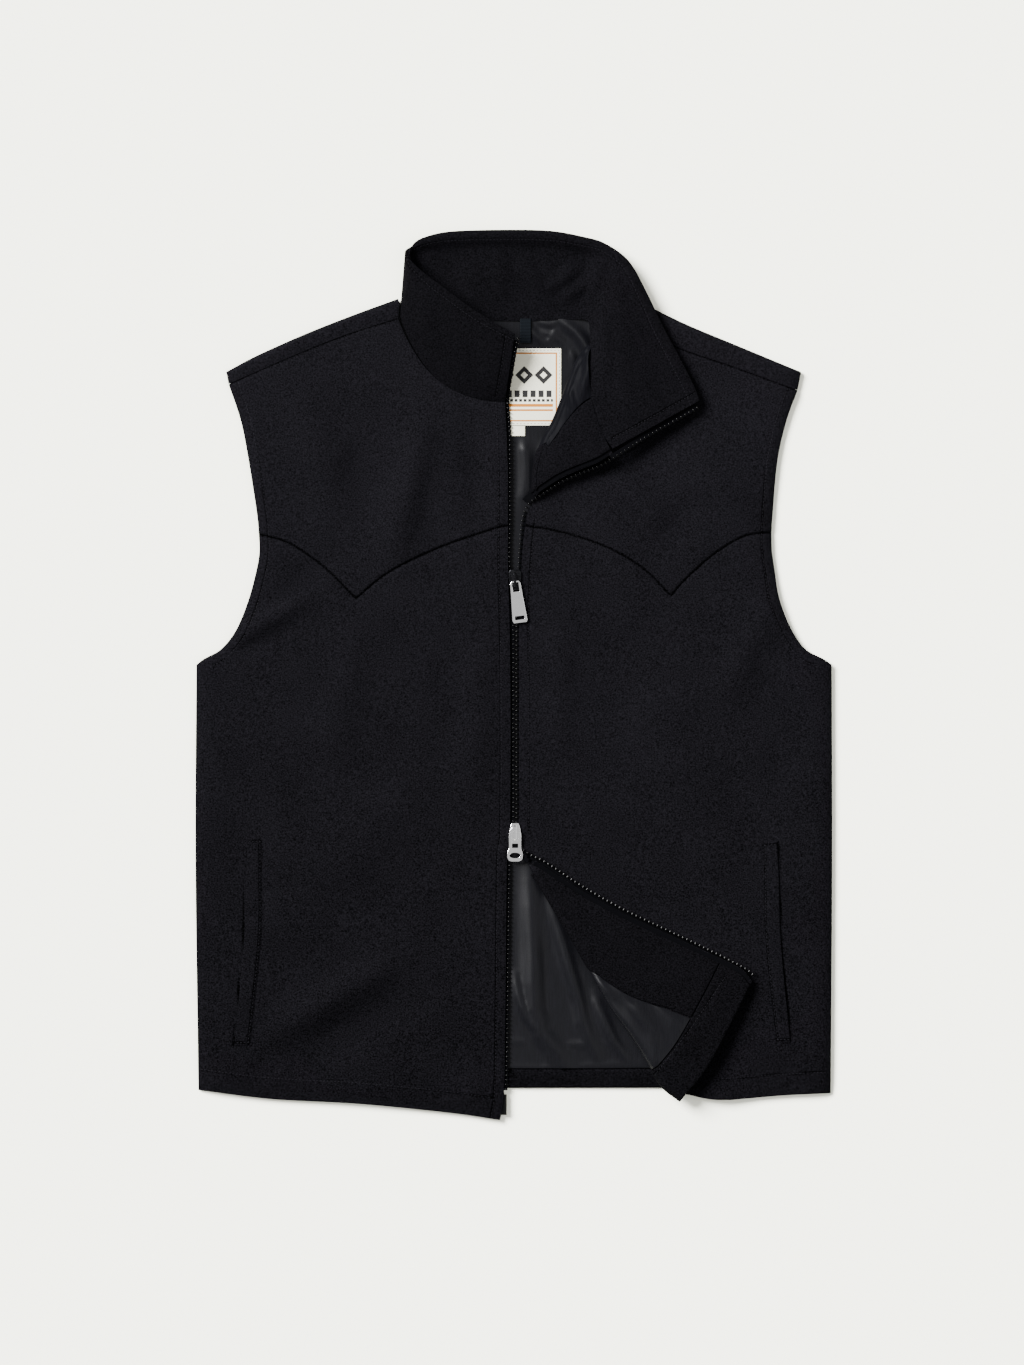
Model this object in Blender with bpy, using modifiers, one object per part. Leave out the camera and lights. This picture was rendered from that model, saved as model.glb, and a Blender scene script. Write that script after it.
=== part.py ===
"""A western vest in dark wool, laid flat with its front up, as separate sewn pieces.

Left and right are the wearer's, so the right front lies at -X and the collar points to +Y.
The back rests on z = 0. Every cloth piece is a wall about a middle surface, which comes
from short outline tables in millimetres, and Solidify gives it its thickness. The left
front is turned back at two corners: at the hem, and at the neck like a lapel.
"""

import math

import bmesh
import bpy
import numpy as np
from mathutils import Matrix, Vector

MM = 0.001

# Cloth thicknesses and gaps
WOOL = 2.2
FACING_WOOL = 2.0
SATIN = 1.0
WELT_WOOL = 1.2
LABEL_CLOTH = 0.6
LOOP_CLOTH = 1.2
PLY_GAP = 0.3
SEAM_GAP = 0.45
TURNED_GAP = 0.45
MERGE = 0.02

# Heights of the middle surfaces above the table
BACK_Z = WOOL / 2
LINING_Z = WOOL + PLY_GAP + SATIN / 2
BAND_Z = WOOL + PLY_GAP + FACING_WOOL / 2
LABEL_Z = LINING_Z + SATIN / 2 + PLY_GAP + LABEL_CLOTH / 2
LOOP_Z = LINING_Z + SATIN / 2 + PLY_GAP + LOOP_CLOTH / 2
SIDE_EDGE_Z = WOOL + PLY_GAP + WOOL / 2
FRONT_Z = 7.3
NECK_RISE = 1.3
EDGE_ROLL = 6.0

# Outlines, each a row of x and y
SIDE_RIGHT = ((-277.2, -364.8), (-279.8, -162.4), (-279.0, 9.2))
SIDE_LEFT = ((278.1, -367.4), (279.4, -162.4), (279.0, 9.2))
ARMHOLE_LOW_RIGHT = (
    (-279.0, 9.2), (-271.9, 14.5), (-257.8, 22.4), (-243.8, 40.0), (-233.2, 66.4),
    (-226.2, 92.8), (-223.5, 110.0), (-224.2, 124.5),
)
ARMHOLE_LOW_LEFT = (
    (279.0, 9.2), (271.0, 14.5), (256.1, 22.4), (243.8, 40.0), (233.2, 66.4),
    (228.8, 92.8), (226.4, 110.0), (226.0, 126.0),
)
ARMHOLE_TOP_RIGHT = (
    (-224.2, 124.5), (-225.8, 142.0), (-233.2, 189.6), (-240.2, 224.8), (-250.8, 256.5),
)
ARMHOLE_TOP_LEFT = (
    (226.0, 126.0), (227.0, 142.0), (231.4, 189.6), (239.4, 224.8), (249.0, 251.2),
)
SHOULDER_FOLD_RIGHT = (
    (-253.4, 267.1), (-227.0, 281.2), (-184.8, 300.1), (-142.6, 316.8), (-102.0, 331.6),
)
SHOULDER_FOLD_LEFT = (
    (252.6, 267.1), (195.4, 290.8), (153.1, 308.4), (121.4, 323.4), (101.0, 331.8),
)
SHOULDER_SEAM_RIGHT = (
    (-250.8, 256.5), (-205.9, 276.3), (-153.1, 297.9), (-102.0, 314.4),
)
SHOULDER_SEAM_LEFT = (
    (249.0, 251.2), (195.4, 271.0), (139.0, 290.8), (101.0, 312.0),
)
BACK_NECK = (
    (-102.0, 327.6), (-94.0, 325.6), (-81.0, 323.2), (-54.6, 317.2), (-12.3, 314.6),
    (27.3, 314.6), (50.0, 314.4), (66.0, 311.0), (82.0, 314.0), (101.0, 327.6),
)
BACK_HEM = ((-277.0, -362.5), (0.0, -363.0), (277.8, -362.5))
YOKE_OUTER_RIGHT = ((-224.2, 124.5), (-198.0, 116.6), (-168.1, 96.4), (-139.0, 67.8))
YOKE_INNER_RIGHT = (
    (-139.0, 67.8), (-110.0, 91.1), (-66.9, 112.2), (-18.5, 128.9), (-5.3, 132.0),
)
YOKE_OUTER_LEFT = (
    (226.0, 126.0), (203.3, 122.8), (176.0, 106.9), (149.6, 83.2), (138.6, 70.0),
)
YOKE_INNER_LEFT = (
    (138.6, 70.0), (113.5, 94.6), (81.8, 113.1), (41.4, 126.3), (10.1, 132.0),
)
HEM_RIGHT = (
    (-277.2, -364.8), (-213.8, -372.7), (-135.5, -377.1), (-55.4, -385.0), (-12.3, -391.2),
)
HEM_LEFT = ((278.1, -367.4), (235.0, -369.6), (181.3, -373.6))
FRONT_EDGE_RIGHT = (
    (-12.3, -391.2), (-8.8, -364.8), (-7.5, -285.6), (-6.2, -164.1), (-3.5, -136.0),
    (-3.1, -21.6), (-4.0, 48.8), (-5.3, 92.8), (-5.3, 132.0),
)
FRONT_EDGE_LEFT = (
    (5.3, -143.0), (4.4, -109.6), (4.4, -21.6), (4.4, 48.8), (6.2, 88.4),
    (7.9, 114.8), (10.1, 132.0),
)
YOKE_EDGE_LEFT = ((10.1, 132.0), (11.4, 141.0))
YOKE_EDGE_RIGHT = ((-5.3, 132.0), (-5.3, 172.0), (-6.2, 207.2), (-7.9, 242.4))
NECK_RIGHT = (
    (-102.0, 314.4), (-98.4, 305.0), (-92.0, 292.4), (-79.2, 272.6), (-62.4, 256.6),
    (-42.8, 247.4), (-24.0, 243.2), (-7.9, 242.4),
)
NECK_LEFT_BEHIND = ((101.0, 312.0), (86.2, 304.0))

# Folded hem corner: x, y of the fold's outermost line, bend radius, height of its axis
HEM_FOLD = (
    (5.3, -156.4, 1.6, 8.9),
    (13.0, -172.0, 1.8, 9.0),
    (25.5, -191.4, 2.2, 9.4),
    (44.9, -224.0, 2.8, 10.1),
    (61.6, -253.0, 3.4, 10.7),
    (80.1, -288.2, 3.9, 11.4),
    (102.1, -319.0, 4.4, 12.0),
    (119.7, -347.2, 4.8, 13.0),
    (130.2, -363.0, 5.0, 13.4),
    (146.1, -375.3, 5.0, 13.6),
)
# Its free edge along the zip: x, y, height
HEM_FREE_EDGE = (
    (9.2, -157.0, 8.6), (27.3, -168.5, 9.6), (58.1, -187.9, 10.4), (93.3, -207.7, 10.8),
    (128.5, -224.4, 11.0), (163.7, -240.7, 11.4), (198.9, -257.4, 12.4), (209.5, -268.8, 13.2),
)
# The hem's own edge, from the fold to the tip: x, y, height
HEM_LAST_ROW = ((166.0, -350.7, 19.4), (179.0, -329.0, 19.0), (197.0, -294.4, 15.8))
HEM_SHARES = (0.05, 0.12, 0.22, 0.33, 0.44, 0.55, 0.66, 0.76, 0.853, 0.93, 1.0)
HEM_BAND_SHARE = 0.853
# Where the facing's inner seam crosses each share of the fold, as a place on the bend
HEM_FACING_SEAM = (
    (0.0, -2.0), (0.33, -2.0), (0.39, -1.0), (0.44, 0.0), (0.49, 1.0), (0.55, 1.10),
    (0.66, 1.24), (0.76, 1.38), (1.0, 1.6),
)

# Turned neck corner, with the same columns as the hem corner
NECK_FOLD = (
    (11.4, 147.4, 1.6, 8.9),
    (15.0, 163.2, 1.8, 9.2),
    (16.7, 185.2, 2.2, 9.8),
    (22.9, 207.2, 2.6, 10.5),
    (32.6, 224.8, 3.0, 11.2),
    (41.4, 246.8, 3.0, 12.0),
    (50.2, 270.6, 2.8, 12.5),
    (57.2, 284.0, 2.2, 12.2),
    (64.4, 292.0, 1.6, 11.8),
)
NECK_FREE_EDGE = (
    (15.0, 151.0, 9.4), (21.2, 160.0, 11.0), (30.7, 166.8, 13.2), (42.3, 174.2, 15.2),
    (57.5, 181.0, 17.2), (74.0, 187.6, 19.0), (86.8, 195.2, 20.3),
)
NECK_LAST_ROW = (
    (65.6, 281.0, 16.4), (66.0, 264.4, 18.4), (67.8, 246.8, 19.4), (73.0, 226.6, 20.2),
    (79.8, 210.0, 20.3),
)
NECK_SHARES = (0.08, 0.16, 0.26, 0.33, 0.40, 0.50, 0.60, 0.70, 0.85, 1.0)
NECK_FACING_SEAM = (
    (0.0, -2.0), (0.20, -2.0), (0.26, -1.0), (0.33, 0.0), (0.39, 1.0), (0.42, 1.2), (0.50, 1.22),
    (0.70, 1.33), (0.85, 1.4), (1.0, 1.46),
)
TURN_STEPS = 6
LIMB_STEPS = 4
UNDERLAP = 5.0
BAND_ENDS = (0.035, 0.965)
BAND_ROWS = (0.6, 14.6)
LINING_INSET = (("start", 14.0), ("end", 14.0), ("bottom", 16.0), ("top", 4.0))
# Gaps and ends of the layers on a turned corner, in places and in shares
BEND_SEAM_GAP = 0.045
LIMB_SEAM_GAP = 0.008
FACING_END = 1.985
FACING_START = 0.03
LINING_START = -1.9
BAND_GAP_SHARE = 0.002
SHARE_STEP = 0.006

# Collar stations: neck seam x, y, z, then rim x, y, z, then the crown between them
COLLAR = (
    (-7.5, 244.2, 8.4, 0.9, 300.5, 27.0, 4.0),
    (-22.9, 245.1, 8.4, -15.0, 309.3, 26.0, 4.0),
    (-42.2, 250.4, 8.4, -37.0, 322.5, 25.0, 4.0),
    (-60.7, 260.0, 8.4, -57.2, 337.5, 24.0, 4.0),
    (-76.6, 275.9, 8.4, -73.9, 349.8, 23.0, 4.0),
    (-88.9, 295.2, 8.4, -84.4, 358.6, 22.0, 3.0),
    (-95.0, 309.8, 8.4, -91.8, 366.5, 20.0, 2.0),
    (-97.9, 320.4, 5.4, -95.4, 374.4, 12.5, 0.0),
    (-94.2, 328.8, 3.2, -91.4, 380.6, 6.0, 0.0),
    (-81.0, 324.3, 2.8, -79.2, 385.0, 4.4, 0.0),
    (-54.6, 318.1, 2.6, -54.6, 389.8, 3.4, 0.0),
    (-12.3, 315.5, 2.6, -7.9, 391.2, 3.0, 0.0),
    (27.3, 315.5, 2.6, 31.7, 390.3, 3.4, 0.0),
    (54.6, 316.4, 3.0, 61.5, 385.0, 4.6, 0.0),
    (67.0, 314.4, 8.0, 80.1, 379.2, 7.0, 1.0),
    (69.5, 301.4, 15.0, 100.3, 363.9, 9.5, 4.0),
    (69.3, 275.9, 19.4, 115.3, 337.5, 11.5, 6.0),
    (70.0, 251.2, 20.8, 130.2, 306.7, 12.5, 6.0),
    (75.2, 228.4, 21.4, 147.8, 274.1, 14.0, 5.0),
    (82.3, 213.4, 21.6, 157.5, 254.8, 15.0, 4.0),
    (90.2, 201.5, 21.6, 162.8, 241.6, 16.0, 3.0),
)
COLLAR_ROWS = 5
# A row and a station on the flat back part, where the inside faces up
COLLAR_FLAT_AT = (2, 22)

# Pocket welts: x, y of the mouth side and of the stitched side
WELT_RIGHT_MOUTH = ((-234.1, -143.0), (-235.8, -180.0), (-237.6, -232.8), (-246.0, -326.0))
WELT_RIGHT_SEWN = ((-221.8, -143.0), (-221.8, -180.0), (-222.6, -232.8), (-232.3, -326.0))
WELT_LEFT_MOUTH = ((231.4, -145.6), (233.2, -180.0), (235.0, -235.4), (243.3, -323.4))
WELT_LEFT_SEWN = ((219.1, -146.5), (219.6, -181.7), (220.9, -235.4), (230.6, -323.4))

# Trimmings on the back lining: left, bottom, right, top
LABEL_BOX = (-40.5, 220.0, 41.5, 287.8)
SIZE_TAB_BOX = (-6.0, 210.8, 9.7, 219.6)
LOOP_BOX = (5.3, 292.6, 15.0, 314.0)

# Zip chain paths: x, y, z
CHAIN_RADIUS = 1.25
CHAIN_RIGHT = (
    (-7.2, -367.0, 6.2), (-6.0, -351.6, 6.2), (-5.0, -285.6, 6.2), (-3.4, -164.1, 6.2),
    (-2.6, -149.2, 6.2), (-1.6, -142.0, 6.2), (0.0, -130.0, 6.2), (0.0, -120.0, 6.2),
    (0.0, 60.0, 6.2), (0.0, 73.5, 6.2), (-1.8, 85.8, 6.2), (-3.3, 96.4, 6.2),
    (-3.3, 119.2, 6.2), (-2.8, 136.8, 6.2), (-3.2, 207.2, 6.4), (-5.0, 238.4, 7.0),
    (-4.2, 252.0, 12.4), (-1.4, 268.8, 19.8), (1.4, 285.0, 24.8), (3.8, 297.9, 27.2),
)
CHAIN_LEFT = (
    (211.5, -264.3, 14.6), (201.5, -256.6, 13.8), (165.4, -238.4, 12.8), (130.2, -221.8, 12.4),
    (95.0, -205.0, 12.2), (59.8, -185.2, 11.8), (29.0, -164.9, 11.2), (16.0, -158.5, 11.0),
    (11.0, -155.5, 10.3), (7.0, -153.0, 8.8), (4.4, -149.8, 7.2), (3.6, -146.0, 6.6),
    (2.8, -133.0, 6.2), (2.8, -120.0, 6.2), (2.8, 60.0, 6.2), (2.8, 73.5, 6.2),
    (3.9, 88.4, 6.2), (5.0, 106.0, 6.2), (6.8, 128.0, 6.2), (8.6, 141.0, 6.3),
    (12.0, 149.0, 7.8), (16.5, 153.6, 10.2), (22.5, 157.6, 12.4), (32.0, 164.0, 14.2),
    (43.5, 171.0, 16.4), (59.5, 178.0, 18.6), (76.5, 184.8, 20.6), (92.4, 194.2, 21.8),
    (119.7, 211.6, 20.6), (146.1, 226.4, 18.2), (162.2, 235.8, 16.6),
)
CHAIN_STATIONS = 64
PIN_BOX = (-12.0, -386.8, -6.4, -368.4)
PIN_Z = (3.7, 5.9)
CHAIN_WELD = 0.05

# Sliders: plate outline from the narrow end to the wide end, and heights
SLIDER_HALF = ((3.0, -9.0), (4.2, -6.0), (5.4, 2.0), (5.4, 7.0), (3.6, 9.0))
UNDER_PLATE = (3.8, 4.5)
TOP_PLATE = (8.8, 10.1)
POST_HALF_WIDTH = 0.9
PLATE_BITE = 0.2
POST_SPAN = (4.0, 8.5)
BAIL = ((-7.0, 10.0), (-7.0, 12.6), (-6.0, 13.6), (5.0, 13.6), (6.0, 12.6), (6.0, 10.0),
        (4.8, 10.0), (4.8, 12.4), (-5.8, 12.4), (-5.8, 10.0))
BAIL_WIDTH = 2.2
SLIDER_TOP_AT = (0.9, 84.0)
SLIDER_LOW_AT = (0.9, -139.0)

# Pull tabs, hinged at their own origin
PULL_THICK = 1.3
PULL_Z = 11.25
PULL_TOP_HINGE = (0.9, 82.5)
PULL_LOW_HINGE = (0.9, -134.1)
PULL_TOP_TURN = math.radians(7.3)
PULL_TOP_HALF = ((3.2, 0.65), (4.6, -1.5), (4.9, -9.0), (6.6, -34.0), (5.6, -36.3))
PULL_TOP_EYE = (-2.9, -8.8, 2.9, -0.65)
PULL_TOP_SLOT = (-4.2, -33.6, 4.2, -30.4)
PULL_LOW_HALF = ((2.6, 0.65), (4.4, -2.5), (5.3, -8.0), (5.3, -18.0), (6.8, -22.5),
                 (6.8, -26.0), (5.4, -28.8), (3.0, -29.6))
PULL_LOW_EYE = (-2.7, -17.6, 2.7, -0.65)
PULL_LOW_RING = (5.0, 2.5, -24.3)

OUTER_COLUMNS = np.array((0.0, 0.045, 0.11, 0.22, 0.40, 0.60, 0.80, 1.0))
INNER_COLUMNS = np.linspace(0.0, 1.0, 8)
POINT_SHARE = 0.42
# Shares of a panel's length or width: the back's two sides, the armpits, the turned corners
BACK_SIDE_SHARE = 0.3
BACK_PIT_SHARE = 0.58
FRONT_PIT_SHARE = 0.76
HEM_CORNER_SHARE = 0.44
PLAIN_ROWS = 9
ROWS_TO_PIT = 4
NECK_CORNER_START = 0.15
# A left panel takes its lip's height over these shares of its width
LIP_BLEND = (0.45, 0.70)


def smooth(points, steps=10):
    """Catmull-Rom curve through a table of points."""
    table = np.array(points, float)
    if len(table) < 3:
        return table
    ends = np.vstack([2 * table[0] - table[1], table, 2 * table[-1] - table[-2]])
    curve = []
    for a, b, c, d in zip(ends, ends[1:], ends[2:], ends[3:]):
        for t in np.linspace(0, 1, steps, endpoint=False):
            curve.append(b + 0.5 * t * (c - a + t * (2 * a - 5 * b + 4 * c - d
                                                     + t * (3 * (b - c) + d - a))))
    curve.append(table[-1])
    return np.array(curve)


def along(points, shares):
    """Points at the given shares of a smooth curve's length, measured in plan."""
    curve = smooth(points)
    steps = np.linalg.norm(np.diff(curve[:, :2], axis=0), axis=1)
    length = np.concatenate([[0.0], np.cumsum(steps)])
    want = np.asarray(shares) * length[-1]
    return np.stack([np.interp(want, length, column) for column in curve.T], axis=1)


def chained(first, first_shares, second, second_shares):
    """Two curves sampled one after the other, meeting in a corner."""
    return np.vstack([along(first, first_shares), along(second, second_shares)[1:]])


def patch(bottom, top, start, end, us, vs):
    """Surface between four edges: bottom and top run along u, start and end along v."""
    u = np.asarray(us)[None, :, None]
    v = np.asarray(vs)[:, None, None]
    sides = (1 - v) * bottom[None] + v * top[None] + (1 - u) * start[:, None] + u * end[:, None]
    low = (1 - u) * bottom[0] + u * bottom[-1]
    high = (1 - u) * top[0] + u * top[-1]
    return sides - (1 - v) * low - v * high


def draw_in(grid, side, distance=SEAM_GAP / 2):
    """Move one edge of a grid towards its neighbouring row or column."""
    edge, inner = {
        "start": (np.s_[:, 0], np.s_[:, 1]), "end": (np.s_[:, -1], np.s_[:, -2]),
        "bottom": (np.s_[0], np.s_[1]), "top": (np.s_[-1], np.s_[-2]),
    }[side]
    step = grid[inner] - grid[edge]
    grid[edge] += step / np.linalg.norm(step, axis=-1, keepdims=True) * distance
    return grid


def raised(flat, height):
    """Give a plan grid its heights."""
    height = np.broadcast_to(np.asarray(height, float), flat.shape[:2])
    return np.concatenate([flat, height[..., None]], axis=2)


def laid(flat, inner_height):
    """A front panel on the back: low at its side edge, column 0, and level inside."""
    away = np.linalg.norm(flat - flat[:, :1], axis=2)
    height = inner_height - (inner_height - SIDE_EDGE_Z) * np.exp(-away / EDGE_ROLL)
    return raised(flat, height)


def normals(grid, up_at):
    """Unit normals of a grid, turned so that the one at up_at points up."""
    across = np.gradient(grid, axis=1)
    down = np.gradient(grid, axis=0)
    normal = np.cross(across, down)
    normal /= np.linalg.norm(normal, axis=2, keepdims=True)
    return normal * (1 if normal[up_at][2] > 0 else -1)


def finish_mesh(name, mesh_data, material, collection):
    """Turn a bmesh into a named object with one material."""
    mesh = bpy.data.meshes.new(name)
    mesh_data.to_mesh(mesh)
    mesh_data.free()
    thing = bpy.data.objects.new(name, mesh)
    mesh.materials.append(material)
    collection.objects.link(thing)
    return thing


def cloth(name, grids, thickness, material, collection):
    """A wall of cloth about one or more grids of points, joined where they meet."""
    mesh_data = bmesh.new()
    for grid in grids:
        rows, columns = grid.shape[0] - 1, grid.shape[1] - 1
        made = bmesh.ops.create_grid(mesh_data, x_segments=columns, y_segments=rows, size=1)
        for vertex in made["verts"]:
            i = round((vertex.co.x + 1) / 2 * columns)
            j = round((vertex.co.y + 1) / 2 * rows)
            vertex.co = Vector(grid[j, i]) * MM
    bmesh.ops.remove_doubles(mesh_data, verts=mesh_data.verts, dist=MERGE * MM)
    bmesh.ops.recalc_face_normals(mesh_data, faces=mesh_data.faces)
    thing = finish_mesh(name, mesh_data, material, collection)
    thing.data.shade_smooth()
    wall = thing.modifiers.new("Thickness", "SOLIDIFY")
    wall.thickness = thickness * MM
    wall.offset = 0.0
    return thing


def slab(name, outline, span, material, collection, sideways=False):
    """A flat outline given a thickness, along Z or, sideways, along X."""
    mesh_data = bmesh.new()
    low, high = span
    corners = [(low, a, b) if sideways else (a, b, low) for a, b in outline]
    face = mesh_data.faces.new([mesh_data.verts.new(Vector(corner) * MM) for corner in corners])
    grown = bmesh.ops.extrude_face_region(mesh_data, geom=[face])
    moved = [item for item in grown["geom"] if isinstance(item, bmesh.types.BMVert)]
    shift = Vector((1, 0, 0) if sideways else (0, 0, 1)) * (high - low) * MM
    bmesh.ops.translate(mesh_data, verts=moved, vec=shift)
    bmesh.ops.recalc_face_normals(mesh_data, faces=mesh_data.faces)
    return finish_mesh(name, mesh_data, material, collection)


def box_outline(left, bottom, right, top):
    """Corners of a rectangle."""
    return ((left, bottom), (right, bottom), (right, top), (left, top))


def mirrored_outline(half):
    """A closed outline from its right half, listed from end to end."""
    return list(half) + [(-x, y) for x, y in reversed(half)]


def combine(target, tool, operation, cutters):
    """Join a tool to an object, or cut it out, and put the tool away."""
    change = target.modifiers.new(operation.title(), "BOOLEAN")
    change.operation = operation
    change.object = tool
    for owner in list(tool.users_collection):
        owner.objects.unlink(tool)
    cutters.objects.link(tool)
    tool.hide_render = True
    tool.display_type = "WIRE"


def principled(name, color, roughness, metallic=0.0):
    """A Principled material."""
    material = bpy.data.materials.new(name)
    material.use_nodes = True
    shader = material.node_tree.nodes["Principled BSDF"]
    shader.inputs["Base Color"].default_value = (*color, 1.0)
    shader.inputs["Roughness"].default_value = roughness
    shader.inputs["Metallic"].default_value = metallic
    material.diffuse_color = (*color, 1.0)
    return material


class TurnedCorner:
    """The wool round a fold: rows along the fold, and places across it.

    Place -2 is under the panel, -1 the lower lip, 0 the outermost line, 1 the upper lip
    and 2 the free edge. The normals point to the cloth's inside, away from the bend.
    """

    def __init__(self, fold, free_edge, last_row, shares):
        self.shares = np.array(shares)
        line = along(fold, shares)
        edge = along(free_edge, shares)
        tangent = np.gradient(line[:, :2], axis=0)
        tangent /= np.linalg.norm(tangent, axis=1, keepdims=True)
        out = np.stack([-tangent[:, 1], tangent[:, 0]], axis=1)
        inward = edge[:, :2] - line[:, :2]
        out *= -np.sign(np.sum(out * inward, axis=1))[:, None]
        out[0] = out[1]
        radius, axis_z = line[:, 2], line[:, 3]
        reach = radius + WOOL / 2 + PLY_GAP + FACING_WOOL
        axis = line[:, :2] - out * reach[:, None]
        angles = np.linspace(-math.pi / 2, math.pi / 2, TURN_STEPS + 1)
        columns, directions, places = [], [], []
        for place, reach_under in ((-2.0, UNDERLAP), (-1.5, UNDERLAP / 2)):
            columns.append(np.column_stack([axis - out * reach_under, axis_z - radius]))
            directions.append(np.tile((0.0, 0.0, -1.0), (len(shares), 1)))
            places.append(place)
        for angle in angles:
            spot = axis + out * (radius * math.cos(angle))[:, None]
            columns.append(np.column_stack([spot, axis_z + radius * math.sin(angle)]))
            rise = np.full(len(shares), math.sin(angle))
            directions.append(np.column_stack([out * math.cos(angle), rise]))
            places.append(angle / (math.pi / 2))
        lip = columns[-1]
        steps = np.linspace(0, 1, LIMB_STEPS + 1)
        first = np.array([lip[0] + (edge[0] - lip[0]) * t for t in steps])
        last = along([lip[-1], *last_row, edge[-1]], steps)
        level = (self.shares - self.shares[0]) / (self.shares[-1] - self.shares[0])
        limb = patch(first, last, lip, edge, steps, level)
        bulge = last[:, 2] - (last[0, 2] + (last[-1, 2] - last[0, 2]) * steps)
        straight = lip[:, 2:] + (edge[:, 2:] - lip[:, 2:]) * steps
        limb[:, :, 2] = straight + level[:, None] ** 2 * bulge
        limb_normal = normals(limb, (len(shares) // 2, 2))
        limb_normal[:2] = limb_normal[2]
        limb_normal[:, 0] = (0.0, 0.0, 1.0)
        limb_normal[:, 1] += (0.0, 0.0, 1.0)
        limb_normal[:, 1] /= np.linalg.norm(limb_normal[:, 1], axis=1, keepdims=True)
        for k in range(1, LIMB_STEPS + 1):
            columns.append(limb[:, k])
            directions.append(limb_normal[:, k])
            places.append(1.0 + steps[k])
        self.places = np.array(places)
        self.grid = np.stack(columns, axis=1)
        self.normal = np.stack(directions, axis=1)
        self.lower_lip = columns[2]

    def wool(self):
        """The turned part of the wool itself, from the lower lip to the free edge."""
        return self.grid[:, 2:]

    def row(self, share, places, offset):
        """Points at one share of the fold, moved out from the wool."""
        spots = []
        for table, gain in ((self.grid, 1.0), (self.normal, offset)):
            line = np.array([[np.interp(share, self.shares, table[:, i, k])
                              for k in range(3)] for i in range(len(self.places))])
            spots.append(gain * np.stack([np.interp(places, self.places, line[:, k])
                                          for k in range(3)], axis=1))
        return spots[0] + spots[1]

    def ply(self, shares, first_place, last_place, offset):
        """A layer on the wool between two places, which may change along the fold."""
        rows = []
        for share in shares:
            places = np.clip(self.places, first_place(share), last_place(share))
            rows.append(self.row(share, places, offset))
        return np.array(rows)


def shares_between(shares, low, high):
    """The shares inside a span, with the span's own ends."""
    return [low] + [s for s in shares if low + SHARE_STEP < s < high - SHARE_STEP] + [high]


def back_grid():
    """The flat part of the back, and its two turns over the shoulders."""
    side_shares = np.linspace(0, 1, 8)
    hole_shares = np.linspace(0, 1, 9)
    starts, turns, tops = [], [], []
    tables = (
        (SIDE_RIGHT, ARMHOLE_LOW_RIGHT, ARMHOLE_TOP_RIGHT, SHOULDER_FOLD_RIGHT,
         SHOULDER_SEAM_RIGHT),
        (SIDE_LEFT, ARMHOLE_LOW_LEFT, ARMHOLE_TOP_LEFT, SHOULDER_FOLD_LEFT,
         SHOULDER_SEAM_LEFT),
    )
    for sign, (side, low, high, fold, seam) in zip((-1, 1), tables):
        line = along(fold, OUTER_COLUMNS)
        target = along(seam, OUTER_COLUMNS)
        away = np.linalg.norm(line - line[0], axis=1)
        top_z = FRONT_Z - (FRONT_Z - SIDE_EDGE_Z) * np.exp(-away / EDGE_ROLL)
        radius = (top_z - BACK_Z) / 2
        tangent = np.gradient(line, axis=0)
        tangent /= np.linalg.norm(tangent, axis=1, keepdims=True)
        out = np.stack([tangent[:, 1], -tangent[:, 0]], axis=1) * sign
        axis = line - out * (radius + WOOL / 2)[:, None]
        bend = []
        for angle in np.linspace(-math.pi / 2, math.pi / 2, 5):
            spot = axis + out * (radius * math.cos(angle))[:, None]
            bend.append(np.column_stack([spot, BACK_Z + radius * (1 + math.sin(angle))]))
        bend.append(np.column_stack([target, top_z]))
        turns.append(draw_in(np.array(bend), "top"))
        corner = (BACK_HEM[0] if sign < 0 else BACK_HEM[-1])
        hem_to_pit = (corner, *side[1:])
        armhole = (*low, *high[1:-1], tuple(axis[0]))
        starts.append(chained(hem_to_pit, side_shares, armhole, hole_shares))
        tops.append(axis)
    neck = along((tuple(tops[0][-1]), *BACK_NECK[1:-1], tuple(tops[1][-1])), np.linspace(0, 1, 9))
    top = np.vstack([tops[0], neck[1:-1], tops[1][::-1]])
    side_us = BACK_SIDE_SHARE * OUTER_COLUMNS
    middle_us = np.linspace(BACK_SIDE_SHARE, 1 - BACK_SIDE_SHARE, 9)[1:-1]
    us = np.concatenate([side_us, middle_us, 1 - side_us[::-1]])
    vs = np.concatenate([BACK_PIT_SHARE * side_shares,
                         BACK_PIT_SHARE + (1 - BACK_PIT_SHARE) * hole_shares[1:]])
    flat = patch(along(BACK_HEM, us), top, starts[0], starts[1], us, vs)
    return flat, turns


def make_back(wool, satin, facing, parts):
    """Back panel with its shoulder turns, its lining and its hem band."""
    flat, turns = back_grid()
    cloth("back", [raised(flat, BACK_Z), *turns], WOOL, wool, parts)
    lining = np.delete(flat, (1, 2, -3, -2), axis=1)
    under_collar = np.s_[-1, 7:12]
    neck = lining[under_collar] - (0.0, 1.0)
    for side, distance in LINING_INSET:
        draw_in(lining, side, distance)
    lining[under_collar] = neck
    cloth("back_lining", [raised(lining, LINING_Z)], SATIN, satin, parts)
    low = along(BACK_HEM, np.linspace(*BAND_ENDS, 13))
    band = np.array([low + (0.0, rise) for rise in BAND_ROWS])
    cloth("back_hem_band", [raised(band, BAND_Z)], FACING_WOOL, facing, parts)


def hem_corner_shares(corner_rows):
    """Row shares of the left front: its turned corner's rows, then the plain rows above."""
    turned = (corner_rows - corner_rows[0]) / (corner_rows[-1] - corner_rows[0])
    plain = np.linspace(HEM_CORNER_SHARE, 1, PLAIN_ROWS + 1)
    return np.concatenate([turned * HEM_CORNER_SHARE, plain[1:]])


def panel_columns():
    """Column shares across a front, with one column at the yoke's point."""
    inner = POINT_SHARE + (1 - POINT_SHARE) * INNER_COLUMNS[1:]
    return np.concatenate([POINT_SHARE * OUTER_COLUMNS, inner])


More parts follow.
